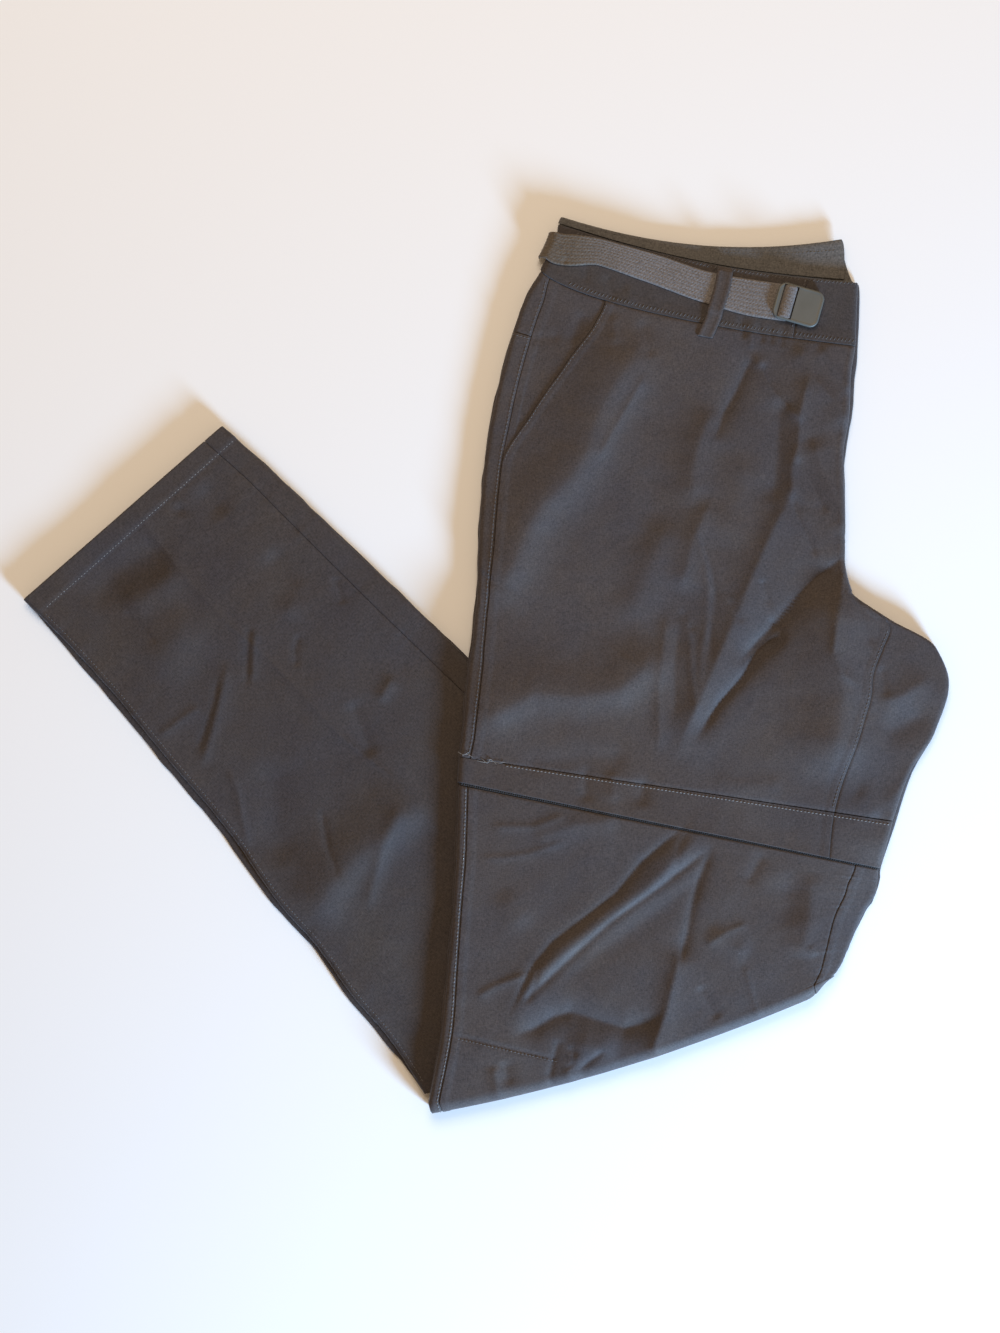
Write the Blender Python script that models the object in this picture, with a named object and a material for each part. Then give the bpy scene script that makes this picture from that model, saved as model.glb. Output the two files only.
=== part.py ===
"""Straight-leg hiking trousers with zip-off lower legs, folded and laid flat.

The trousers are folded in half along the centre, wearer's right leg on top with its front up.
Both lower legs are then folded under, so that they come out at the left of the thighs, where the
wearer's left lower leg shows its front. Every visible panel is a cloth wall with its own node.
The layers that nobody sees are two rounded solids with the layers' edges along their sides.

The model is in metres with +Z up and its origin on the floor, under the middle of its box. The
sizes below are real sizes in millimetres, and solid() turns them into metres.
"""
import math

import bpy
import numpy as np

MM = 0.001

# Cloth and the clearances between neighbours
CLOTH = 1.2
GAP = 0.3
SEAM = 0.15            # half of the gap between two panels at a seam
CORE_DEPTH = CLOTH + GAP

# Rounded edge of a flattened leg: how far it reaches in, how far it drops, cloth round it
LIP_IN = 3.2
LIP_DROP = 2.6
LIP_ARC = 4.6

# Edges of the layers under the top one, from its cloth down to the underside: how far in, how much
# of the lower layer's reach counts, share of the height, and how far below that
LAYER_EDGES = (
    (0.6, 0, 1.00, 0.7),
    (1.7, 0, 0.58, 0.0),
    (0.7, 1, 0.46, 0.0),
    (0.0, 1, 0.26, 0.0),
    (0.5, 1, 0.08, 0.0),
    (1.4, 1, 0.00, 0.0),
)

# Upper leg and knee, read down the left edge from the waist seam, which is at y = WAIST_Y.
# Seams are measured over the cloth: side_seam and pocket from the left edge, the others from the
# right one. inner_seam is the tab's seam in the waistband and the inseam below the crotch. bow is
# how far a row hangs below its straight line, most at bow_at of its width.
WAIST_Y = 269.0
THIGH_COLUMNS = ("down left_x right_x right_y bow bow_at rise side_seam pocket inner_seam knee_seam "
                 "reach_left reach_right")
THIGH_ROWS = (
    (-37.0, 51, 243, 291, 12, 0.50, 5.4, 8, 40, 36, 0, 0, 0),
    (-31.4, 49, 253, 260, 7, 0.50, 5.4, 8, 42, 36, 0, 0, 0),
    (-31.0, 49, 253, 260, 7, 0.50, 9.6, 8, 42, 36, 0, 0, 1),
    (0, 37, 251, 217, 11, 0.33, 9.6, 8, 48, 45, 0, 0, 3),
    (18, 27, 248, 198, 8, 0.40, 9.0, 13, 51, 0, 0, 0, 4),
    (54, 15, 247, 172, 3, 0.50, 8.8, 14, 43, 0, 0, 0.5, 3),
    (95, 5, 243, 140, 0, 0.50, 8.6, 14, 28, 0, 0, 1.0, 2),
    (131, -1, 244, 101, 0, 0.50, 8.6, 13, 14.2, 0, 0, 0.5, 1),
    (184, -5, 244, 72, 0, 0.50, 8.6, 12, 13.2, 0, 0, 0.5, 0.5),
    (220, -6, 249, 50, 0, 0.50, 8.6, 9.5, 10.7, 2, 0, 0.5, 0.5),
    (235, -7.5, 274, 32, 0, 0.50, 8.6, 9.5, 10.7, 5, 0, 1.0, 0.5),
    (252, -9, 306, 12.6, 0, 0.50, 8.6, 9.5, 10.7, 37, 18, 1.0, 0.5),
    (272, -12, 315, -12.6, 0, 0.50, 8.6, 11, 12.2, 54, 20, 1.0, 1),
    (306, -15, 305, -47, 0, 0.50, 8.6, 10, 11.2, 52, 20, 1.0, 1),
    (318, -16, 288, -74, 0, 0.50, 8.6, 9.5, 10.7, 44, 18, 1.0, 2),
    (331, -18, 277, -106, 0, 0.50, 8.6, 9, 10.2, 42, 18, 1.0, 3),
    (348, -18.5, 268, -138, 0, 0.50, 8.6, 8, 9.2, 37, 18, 1.0, 2),
    (394, -20, 266, -154, 1, 0.50, 8.6, 8, 9.2, 37, 22, 1.0, 1),
    (439, -22.5, 257, -170, 3, 0.50, 8.6, 7, 8.2, 37, 21, 1.0, 1),
    (476, -26, 247, -191, 5, 0.50, 8.6, 8, 9.2, 37, 17, 1.0, 1),
    (517, -30, 239, -206, 7, 0.50, 8.6, 9, 10.2, 37, 14, 1.0, 0.5),
    (566, -39, 229, -213, 9, 0.50, 8.6, 9, 10.2, 37, 12, 0.5, 0.5),
)
WAIST_TOP = -37.0
WAIST_INSIDE = -36.8
WAIST_STEP = -31.4
WAIST_BACK_GAP = 1.2
WAIST_EDGE = -31.0
WAIST_SEAM = 0.0
YOKE_SEAM = 42.0
POCKET_END = 131.0
CROTCH = 220.0
COVER_STITCHES = 331.0
ZIP_TOP = 344.5
COVER_EDGE = 348.0
COVER_PROUD = 1.7
COVER_CLEAR = 0.4
KNEE_TOP = 350.0
FOLD_START = 566.0

# Fold at the knee: the cloth rolls round a half circle and ends just above the floor
KNEE_FOLD_LEFT = (-39.0, -297.0)
KNEE_FOLD_RIGHT = (229.0, -213.0)
ROLL_LENGTH = 24.0
ROLL_ANGLE = math.radians(160)
ROLL_TOP = 8.0
ROLL_UNDER = 4.0
ROLL_INSIDE = 11.0     # how far round the fold the hidden layers go

# Lower leg that comes out at the left, read from its hem to the knee fold
SHIN_COLUMNS = "down left_x left_y right_x right_y bow bow_at rise side_seam inseam reach_left reach_right"
SHIN_ROWS = (
    (0, -315, 45, -180, 163, 0, 0.5, 7.6, 3.2, 17, 0, 0),
    (38, -287, 17, -154, 140, 0, 0.5, 7.6, 3.2, 17, 3, 0.5),
    (88, -253, -20, -126.5, 114, 0, 0.5, 7.6, 3.2, 18, 5, 0.5),
    (147, -215, -66, -86, 75, 0, 0.5, 7.6, 3.2, 19, 5, 0.5),
    (205, -177.5, -110.5, -49, 40, 0, 0.5, 7.6, 3.2, 20, 5, 0.5),
    (270, -140, -163.5, -11.6, 3.7, 0, 0.5, 7.6, 3.2, 20, 4, 0.5),
    (307, -115.6, -191, 37, -42.5, 0, 0.5, 7.6, 3.2, 20, 3, 0.5),
    (348, -91, -225, 86, -89, 0, 0.5, 7.6, 3.2, 20, 4, 0.5),
    (385, -67, -253, 135, -136, 0, 0.5, 7.6, 3.2, 20, 4, 0.5),
    (423, -49, -280, 184, -183, 0, 0.5, 7.6, 3.2, 20, 1, 0.5),
    (437, -42, -292, 218, -208, 0, 0.5, 7.6, 3.2, 20, 0.5, 0.5),
)
SHIN_INSIDE = 0.4
SHIN_END = 437.0
HEM = 14.0
HEM_RAISED = 0.5

# The thighs lie over the lower legs, whose upper edge runs down to the right from here. The
# underside steps up just outside it, and the cloth on top slopes up over a longer way.
SHIN_EDGE_START = (-11.6, 3.7)
SHIN_EDGE_ALONG = (0.7236, -0.6902)
OVER_SHIN = 7.9
UNDERSIDE_STEP = (14.0, 28.0)
STEP_FROM_LEFT = 8.0
STEP_FROM_RIGHT = 40.0
LEVEL_FROM_RIGHT = 20.0
UNDERSIDE_INSET = 5.0
TOP_SLOPE = (-10.0, 55.0)

# Largest folds and puffs: x, y at the start, x, y at the end, how wide, how high (below 0: a trough)
THIGH_FOLDS = (
    (84, 126, 37, 64, 11, 2.0),
    (137, 22, 114, -34, 12, 2.4),
    (114, -34, 38, -34, 11, 1.6),
    (148, -28, 240, 66, 11, 2.8),
    (186, -44, 268, 17, 11, 2.4),
    (169, -34, 254, 41, 9, -1.4),
    (177, 196, 160, 176, 9, -1.2),
    (222, 185, 236, 166, 9, -1.0),
    (8, -236, 73, -165, 13, 3.0),
    (73, -165, 118, -117, 13, 2.6),
    (113, -258, 129, -213, 12, 2.6),
    (129, -213, 153, -133, 12, 2.6),
    (186, -232, 173, -180, 11, -1.4),
    (80, -250, 52, -256, 20, 2.6),
)
SHIN_FOLDS = (
    (-182, -17, -192, -64, 10, 1.8),
    (-82, -117, -114, -186, 20, 1.4),
    (-161, 23, -162, -11, 10, 1.0),
)

# Belt webbing over the waistband: along it from the left edge, its two edges, how far it stands off
WEBBING_THICK = 1.3
WEBBING_PLACES = (-5.5, -2, 0, 1.5, 3, 4.6, 8, 14, 24, 36, 48, 60, 72, 84, 96, 108, 120, 132, 144, 156, 168)
WEBBING_COLUMNS = "along lower_edge upper_edge stand_off"
WEBBING_ROWS = (
    (-5.5, -7.5, -25.0, 4.2),
    (0, -7.5, -25.0, 4.4),
    (2.3, -7.6, -25.1, 2.4),
    (4.6, -7.8, -25.4, 0.8),
    (14, -10, -27.5, 0.4),
    (35, -15.5, -29.8, 0.3),
    (66, -14, -29.0, 0.3),
    (108, -10.2, -24.5, 0.3),
    (150, -7.5, -23.5, 0.3),
    (168, -7.5, -23.0, 0.3),
)

# Belt loop: down the waistband, how far it stands off, and its middle along the waist
LOOP_WIDE = 11.0
LOOP_THICK = 1.1
LOOP_COLUMNS = "down stand_off middle"
LOOP_ROWS = (
    (-29.5, 0.3, 117),
    (-27.0, 2.0, 117),
    (-17.0, 2.0, 118),
    (-8.0, 2.0, 119),
    (-4.0, 1.0, 120),
    (0.0, 0.7, 120),
    (6.0, 0.3, 121),
    (8.5, 0.3, 121),
)

# Buckle: a rounded plate with two slots, and the webbing that turns round the bar between them
BUCKLE_MIDDLE = (211.8, 244.5)
BUCKLE_TURN = math.radians(-16)
BUCKLE_LONG = 32.0
BUCKLE_WIDE = 25.0
BUCKLE_CORNER = 5.5
BUCKLE_THICK = 2.6
BUCKLE_LIFT = 2.0
SLOT_PLACES = (-11.6, -3.4)
SLOT_WIDE = 2.0
SLOT_LONG = 22.6
BUCKLE_EDGE = 0.9
CUTTER_EXTRA = 2.0
TURN_WIDE = 22.0
TURN_PROUD = 0.9
TURN_SHOULDER = 1.2

# Colours and finishes: red, green, blue, roughness
FINISHES = {
    "cloth": (0.072, 0.066, 0.066, 0.82),
    "cloth_inside": (0.058, 0.051, 0.044, 0.86),
    "webbing": (0.140, 0.118, 0.100, 0.72),
    "buckle": (0.145, 0.143, 0.125, 0.45),
    "zip": (0.030, 0.028, 0.028, 0.60),
}


class Table:
    """Rows of measures with named columns, read at any place along the first column."""

    def __init__(self, names, rows):
        values = np.array(rows, float)
        self.places = values[:, 0]
        self.columns = dict(zip(names.split(), values.T))

    def read(self, name, place):
        return float(np.interp(place, self.places, self.columns[name]))

    def curve(self, name, place):
        """The same column, read along a smooth curve through its rows."""
        places, values = self.places, self.columns[name]
        row = int(np.clip(np.searchsorted(places, place) - 1, 0, len(places) - 2))
        span = places[row + 1] - places[row]
        part = min(max((place - places[row]) / span, 0.0), 1.0)
        start, end = self.slope(values, row), self.slope(values, row + 1)
        square, cube = part ** 2, part ** 3
        return ((2 * cube - 3 * square + 1) * values[row] + (3 * square - 2 * cube) * values[row + 1]
                + (cube - 2 * square + part) * span * start + (cube - square) * span * end)

    def slope(self, values, row):
        places = self.places
        if row in (0, len(places) - 1):
            first = min(row, len(places) - 2)
            return (values[first + 1] - values[first]) / (places[first + 1] - places[first])
        before = (values[row] - values[row - 1]) / (places[row] - places[row - 1])
        after = (values[row + 1] - values[row]) / (places[row + 1] - places[row])
        if before * after <= 0:
            return 0.0
        return 2 * before * after / (before + after)


def ease(start, end, value):
    part = min(max((value - start) / (end - start), 0.0), 1.0)
    return part * part * (3 - 2 * part)


def even(start, end, count):
    return [start + (end - start) * step / count for step in range(count + 1)]


def beyond_shin(x, y):
    """How far a place lies outside the lower legs' upper edge."""
    away_x, away_y = x - SHIN_EDGE_START[0], y - SHIN_EDGE_START[1]
    return away_y * SHIN_EDGE_ALONG[0] - away_x * SHIN_EDGE_ALONG[1]


class Stack:
    """Two flattened legs lying on each other: a strip with rounded edges.

    A row of it is a straight line across, which may bow. A place on its cloth is given by the
    row's place down the legs, the girth over the cloth from the left edge, and how far out.
    """

    def __init__(self, names, rows, folds, over_shin):
        self.table = Table(names, rows)
        self.folds = folds
        self.over_shin = over_shin

    def ends(self, down):
        down = min(down, self.table.places[-1])
        read = self.table.curve
        left_y = WAIST_Y - down if self.over_shin else read("left_y", down)
        return (read("left_x", down), left_y), (read("right_x", down), read("right_y", down))

    def width(self, down):
        left, right = self.ends(down)
        return math.hypot(right[0] - left[0], right[1] - left[1])

    def girth(self, down):
        """Length of cloth from the left edge's outermost line over the top to the right one."""
        return self.width(down) - 2 * LIP_IN + 2 * LIP_ARC

    def across(self, down, inward):
        """The place on the floor that lies this far in from the left edge."""
        left, right = self.ends(down)
        part = inward / self.width(down)
        x = left[0] + (right[0] - left[0]) * part
        y = left[1] + (right[1] - left[1]) * part
        if 0 < part < 1:
            bent = part ** (math.log(0.5) / math.log(self.table.read("bow_at", down)))
            y -= self.table.read("bow", down) * 4 * bent * (1 - bent)
        return x, y

    def floor(self, x, y):
        """Underside of the strip."""
        if not self.over_shin:
            return 0.0
        return OVER_SHIN * (1 - ease(*UNDERSIDE_STEP, beyond_shin(x, y)))

    def fold_lift(self, x, y):
        """Height that the folds and puffs add to the cloth."""
        lift = 0.0
        for start_x, start_y, end_x, end_y, wide, high in self.folds:
            run_x, run_y = end_x - start_x, end_y - start_y
            part = ((x - start_x) * run_x + (y - start_y) * run_y) / (run_x ** 2 + run_y ** 2)
            part = min(max(part, 0.0), 1.0)
            away = math.hypot(x - start_x - part * run_x, y - start_y - part * run_y)
            lift += high * math.exp(-(away / wide) ** 2)
        return lift

    def top(self, down, x, y):
        height = self.table.read("rise", down) + self.fold_lift(x, y)
        if self.over_shin:
            height += OVER_SHIN * (1 - ease(*TOP_SLOPE, beyond_shin(x, y)))
        return height

    def point(self, down, girth, out=0.0):
        """A point of the cloth's outer face, moved out by some distance."""
        total = self.girth(down)
        mirrored = girth > total / 2
        inner = total - girth if mirrored else girth
        if inner < 0:
            inward, rise = -out, inner
        elif inner < LIP_ARC:
            angle = math.pi / 2 * inner / LIP_ARC
            inward = LIP_IN - (LIP_IN + out) * math.cos(angle)
            rise = (LIP_DROP + out) * math.sin(angle)
        else:
            inward, rise = LIP_IN + inner - LIP_ARC, LIP_DROP + out
        if mirrored:
            inward = self.width(down) - inward
        x, y = self.across(down, inward)
        return self.roll(down, x, y, self.top(down, x, y) - LIP_DROP + rise, out)

    def place(self, down, inward, z):
        """A point of the hidden layers at some height."""
        x, y = self.across(down, inward)
        return self.roll(down, x, y, z, -CORE_DEPTH)

    def roll(self, down, x, y, z, out):
        """Turns what lies past the knee fold round it, towards the floor."""
        if down <= FOLD_START or not self.over_shin:
            return x, y, z
        run_x = KNEE_FOLD_RIGHT[0] - KNEE_FOLD_LEFT[0]
        run_y = KNEE_FOLD_RIGHT[1] - KNEE_FOLD_LEFT[1]
        run = math.hypot(run_x, run_y)
        angle = math.pi / 2 - ROLL_ANGLE * (down - FOLD_START) / ROLL_LENGTH
        middle = 0.5 * self.top(down, x, y)
        if angle >= 0:
            forward = (ROLL_TOP + out) * math.cos(angle)
            z = middle + (z - middle) * math.sin(angle) if z > middle else z
        else:
            forward = ROLL_TOP - ROLL_UNDER + (ROLL_UNDER + out) * math.cos(angle)
            z = middle + (middle + out) * math.sin(angle)
        return x + forward * run_y / run, y - forward * run_x / run, z


thigh = Stack(THIGH_COLUMNS, THIGH_ROWS, THIGH_FOLDS, True)
shin = Stack(SHIN_COLUMNS, SHIN_ROWS, SHIN_FOLDS, False)


# Rows down the cloth and columns across it. The hidden layers use the same ones as the panels
# over them, so that the gap between them is the same everywhere.
EDGE_COLUMNS = 3
STRIP_COLUMNS = 2
FRONT_COLUMNS = 14
SIDE_AT = EDGE_COLUMNS + 1
POCKET_AT = SIDE_AT + STRIP_COLUMNS
INNER_SEAM_AT = POCKET_AT + FRONT_COLUMNS
KNEE_SEAM_AT = INNER_SEAM_AT + STRIP_COLUMNS
LAST_AT = KNEE_SEAM_AT + 1 + EDGE_COLUMNS
SHIN_SIDE_AT = 2
SHIN_INSEAM_AT = SHIN_SIDE_AT + 10
SHIN_LAST_AT = SHIN_INSEAM_AT + STRIP_COLUMNS + EDGE_COLUMNS
ROW_SPACING = 18.0


def downs(places, spacing=ROW_SPACING):
    """Rows down the cloth: every place given, with even rows about this far apart between them."""
    rows = [places[0]]
    for start, end in zip(places, places[1:]):
        count = max(1, round((end - start) / spacing))
        rows += even(start, end, count)[1:]
    return rows


THIGH_DOWNS = downs((WAIST_EDGE, WAIST_SEAM, YOKE_SEAM, POCKET_END, CROTCH, CROTCH + GAP, 235, 252, 272,
                     COVER_STITCHES, ZIP_TOP, COVER_EDGE, KNEE_TOP, FOLD_START))
SHIN_DOWNS = downs((0, HEM, HEM + 1, 270, SHIN_END))
ROLL_DOWNS = even(FOLD_START, FOLD_START + ROLL_LENGTH, 6)


def thigh_columns(down):
    """Across the upper leg: edge, side strip, pocket, front, inner strips, edge."""
    table, girth = thigh.table, thigh.girth(down)
    side = max(table.read("side_seam", down), LIP_ARC + 1)
    pocket = table.read("pocket", down)
    inner_seam = girth - max(table.read("inner_seam", down), LIP_ARC + 2)
    knee_seam = girth - max(table.read("knee_seam", down), LIP_ARC + 1)
    columns = even(0, LIP_ARC, EDGE_COLUMNS) + [side]
    columns += even(side, pocket, STRIP_COLUMNS)[1:]
    columns += even(pocket, inner_seam, FRONT_COLUMNS)[1:]
    columns += even(inner_seam, knee_seam, STRIP_COLUMNS)[1:]
    columns += even(girth - LIP_ARC, girth, EDGE_COLUMNS)
    return columns


def shin_columns(down):
    """Across the lower leg: side seam on the left edge, front, inner strip, edge."""
    table, girth = shin.table, shin.girth(down)
    side, inseam = table.read("side_seam", down), girth - table.read("inseam", down)
    columns = even(0, side, SHIN_SIDE_AT)
    columns += [LIP_ARC, LIP_ARC + 4]
    columns += even(LIP_ARC + 4, inseam, 8)[1:]
    columns += even(inseam, girth - LIP_ARC, STRIP_COLUMNS)[1:]
    columns += even(girth - LIP_ARC, girth, EDGE_COLUMNS)[1:]
    return columns


def part_of(columns_at, first, last):
    """The columns from one seam to another, with half of a seam's gap left at each."""
    def columns(down):
        every = columns_at(down)
        chosen = every[first:last + 1]
        if first > 0:
            chosen[0] += SEAM
        if last < len(every) - 1:
            chosen[-1] -= SEAM
        return chosen
    return columns


def rows_between(rows, start, end):
    """The rows from one seam to another, with half of a seam's gap left at each."""
    return [start + SEAM] + [down for down in rows if start + 0.5 < down < end - 0.5] + [end - SEAM]


def finish(name):
    """A plain material with one of the finishes above."""
    material = bpy.data.materials.get(name)
    if material is None:
        red, green, blue, roughness = FINISHES[name]
        material = bpy.data.materials.new(name)
        material.use_nodes = True
        shader = material.node_tree.nodes["Principled BSDF"]
        shader.inputs["Base Color"].default_value = (red, green, blue, 1)
        shader.inputs["Roughness"].default_value = roughness
    return material


def solid(name, points, faces, material):
    """One named object from points in millimetres."""
    mesh = bpy.data.meshes.new(name)
    mesh.from_pydata([tuple(value * MM for value in point) for point in points], [], faces)
    mesh.materials.append(finish(material))
    mesh.update()
    made = bpy.data.objects.new(name, mesh)
    bpy.context.collection.objects.link(made)
    return made


def wall(name, outer, inner, material, has_cell=lambda row, column: True):
    """A sheet with thickness: two grids of points of the same size, closed round their border.
    has_cell leaves out cells of the grids."""
    every = [(row, column) for row in range(len(outer) - 1) for column in range(len(outer[0]) - 1)]
    cells = {cell for cell in every if has_cell(*cell)}
    points, numbers, faces = [], {}, []

    def number(side, row, column):
        if (side, row, column) not in numbers:
            numbers[side, row, column] = len(points)
            points.append((outer, inner)[side][row][column])
        return numbers[side, row, column]

    for row, column in sorted(cells):
        corners = ((row, column), (row + 1, column), (row + 1, column + 1), (row, column + 1))
        for half in (corners[:3], (corners[0], corners[2], corners[3])):
            faces.append([number(0, *corner) for corner in half])
            faces.append([number(1, *corner) for corner in half[::-1]])
        beside = ((row, column - 1), (row + 1, column), (row, column + 1), (row - 1, column))
        for place, neighbour in enumerate(beside):
            if neighbour not in cells:
                start, end = corners[place], corners[(place + 1) % 4]
                faces.append([number(0, *end), number(0, *start), number(1, *start), number(1, *end)])
    return solid(name, points, faces, material)


def loft(name, rings, material):
    """A closed solid through rings of points, with a flat cap at each end."""
    size = len(rings[0])
    points = [point for ring in rings for point in ring]
    faces = []
    for ring in range(len(rings) - 1):
        for place in range(size):
            here, after = ring * size + place, ring * size + (place + 1) % size
            faces.append((here, here + size, after + size))
            faces.append((here, after + size, after))
    faces.append(tuple(range(size)))
    faces.append(tuple(reversed(range((len(rings) - 1) * size, len(rings) * size))))
    return solid(name, points, faces, material)


def panel(name, stack, rows, columns_at, outer=lambda down: 0.0, inner=lambda down: -CLOTH, material="cloth"):
    """A cloth wall on a stack, between two distances out from it."""
    grids = []
    for out in (outer, inner):
        grids.append([[stack.point(down, place, out(down)) for place in columns_at(down)] for down in rows])
    return wall(name, *grids, material)


def hidden_ring(stack, down, columns, under_places):
    """One section of the hidden layers, with their edges as rounded lips on both sides."""
    over = [stack.point(down, place, -CORE_DEPTH) for place in columns]
    lips = []
    for side, sign, edge in (("right", -1, stack.width(down)), ("left", 1, 0.0)):
        reach = stack.table.read("reach_" + side, down)
        x, y = stack.across(down, edge)
        low = stack.floor(x, y)
        high = stack.top(down, x, y) - LIP_DROP
        lip = []
        for inward, reaches, share, below in LAYER_EDGES:
            place = edge + sign * (inward - reach * reaches)
            lip.append(stack.place(down, place, low + share * (high - low) - below))
        lips.append(lip)
    under = [stack.place(down, inward, stack.floor(*stack.across(down, inward))) for inward in under_places]
    return over + lips[0] + under[::-1] + lips[1][::-1]


def underside_places(down):
    """Where the thighs' underside has points: on both sides of its step over the lower legs."""
    width = thigh.width(down)
    near = beyond_shin(*thigh.across(down, 0))
    far = beyond_shin(*thigh.across(down, width))
    rate = max(far - near, 0.001) / width
    step = min(max((UNDERSIDE_STEP[0] - near) / rate, STEP_FROM_LEFT), width - STEP_FROM_RIGHT)
    level = step + UNDERSIDE_STEP[1] - UNDERSIDE_STEP[0]
    level = min(max((UNDERSIDE_STEP[1] - near) / rate, level), width - LEVEL_FROM_RIGHT)
    beside = even(UNDERSIDE_INSET, step, 3)[1:]
    return beside + [(step + level) / 2, level] + even(level, width - UNDERSIDE_INSET, 3)[1:-1]


def build_hidden_layers():
    """The layers that nobody sees: the thighs' own, and the lower legs' that lie under them."""
    rings = []
    inside = [down for down in ROLL_DOWNS[1:] if down < FOLD_START + ROLL_INSIDE]
    for down in [WAIST_INSIDE, WAIST_STEP] + THIGH_DOWNS + inside + [FOLD_START + ROLL_INSIDE]:
        rings.append(hidden_ring(thigh, down, thigh_columns(down), underside_places(down)))
    loft("hidden_layers_thighs", rings, "cloth")
    rings = []
    for down in [SHIN_INSIDE] + SHIN_DOWNS[1:]:
        under = even(UNDERSIDE_INSET, shin.width(down) - UNDERSIDE_INSET, 2)
        rings.append(hidden_ring(shin, down, shin_columns(down), under))
    loft("hidden_layers_lower_legs", rings, "cloth")


def build_thigh_front():
    """Right leg's front, from the waist seam to the zip cover. Above the crotch it goes round the
    right edge, and below the crotch it ends at the inseam."""
    rows = rows_between(THIGH_DOWNS, WAIST_SEAM, COVER_STITCHES)
    front = INNER_SEAM_AT - POCKET_AT
    grids = []
    for out in (0.0, -CLOTH):
        grid = []
        for down in rows:
            columns = thigh_columns(down)[POCKET_AT:]
            columns[0] += SEAM
            columns[front] -= SEAM
            grid.append([thigh.point(down, place, out) for place in columns])
        grids.append(grid)
    wall("thigh_front", *grids, "cloth", lambda row, column: rows[row] < CROTCH or column < front)


def build_thigh_sides():
    """Where the back wraps round both edges, its yoke, and the facing of the slash pocket."""
    side = part_of(thigh_columns, 0, SIDE_AT)
    panel("yoke_back_side", thigh, rows_between(THIGH_DOWNS, WAIST_SEAM, YOKE_SEAM), side)
    panel("thigh_back_side", thigh, rows_between(THIGH_DOWNS, YOKE_SEAM, COVER_STITCHES), side)
    panel("thigh_back_inner", thigh, rows_between(THIGH_DOWNS, CROTCH + SEAM, COVER_STITCHES),
          part_of(thigh_columns, INNER_SEAM_AT, LAST_AT))
    panel("pocket_facing", thigh, rows_between(THIGH_DOWNS, WAIST_SEAM, POCKET_END),
          part_of(thigh_columns, SIDE_AT, POCKET_AT), outer=lambda down: -0.2)


def build_waistband():
    """Front waistband with its buttoning tab, and the inside of the back one above its edge."""
    rows = [down for down in THIGH_DOWNS if down < WAIST_SEAM] + [WAIST_SEAM - SEAM]
    panel("waistband_front", thigh, rows, part_of(thigh_columns, 0, INNER_SEAM_AT))
    panel("waistband_tab", thigh, rows, part_of(thigh_columns, INNER_SEAM_AT, LAST_AT))
    rows = even(WAIST_TOP, WAIST_STEP - WAIST_BACK_GAP, 3)
    panel("waistband_back", thigh, rows, thigh_columns, material="cloth_inside")


def build_belt():
    """Webbing over the waistband from round the left edge to the buckle, and the loop over it."""
    table = Table(WEBBING_COLUMNS, WEBBING_ROWS)
    grids = []
    for thick in (WEBBING_THICK, 0.0):
        grid = []
        for along in WEBBING_PLACES:
            lower, upper = table.curve("lower_edge", along), table.curve("upper_edge", along)
            out = table.curve("stand_off", along) + thick
            grid.append([thigh.point(down, along, out) for down in even(lower, upper, 2)])
        grids.append(grid)
    wall("belt_webbing", *grids, "webbing")

    table = Table(LOOP_COLUMNS, LOOP_ROWS)
    grids = []
    for thick in (LOOP_THICK, 0.0):
        grid = []
        for down in table.places:
            middle, out = table.read("middle", down), table.read("stand_off", down) + thick
            places = even(middle - LOOP_WIDE / 2, middle + LOOP_WIDE / 2, 2)
            grid.append([thigh.point(down, place, out) for place in places])
        grids.append(grid)
    wall("belt_loop", *grids, "cloth")


def buckle_place(along, across, height):
    """From the buckle's own directions to the garment's."""
    turn_cos, turn_sin = math.cos(BUCKLE_TURN), math.sin(BUCKLE_TURN)
    x = BUCKLE_MIDDLE[0] + along * turn_cos - across * turn_sin
    y = BUCKLE_MIDDLE[1] + along * turn_sin + across * turn_cos
    return x, y, height


def rounded_outline(half_long, half_wide, corner, steps):
    """A rectangle with round corners, anticlockwise."""
    outline = []
    for quarter, (side_x, side_y) in enumerate(((1, 1), (-1, 1), (-1, -1), (1, -1))):
        for angle in even(quarter * math.pi / 2, (quarter + 1) * math.pi / 2, steps):
            outline.append((side_x * (half_long - corner) + corner * math.cos(angle),
                            side_y * (half_wide - corner) + corner * math.sin(angle)))
    return outline


def buckle_loft(name, outlines, heights, material):
    """A solid through outlines in the buckle's own directions, each at its height."""
    rings = []
    for outline, height in zip(outlines, heights):
        rings.append([buckle_place(along, across, height) for along, across in outline[::-1]])
    return loft(name, rings, material)


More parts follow.
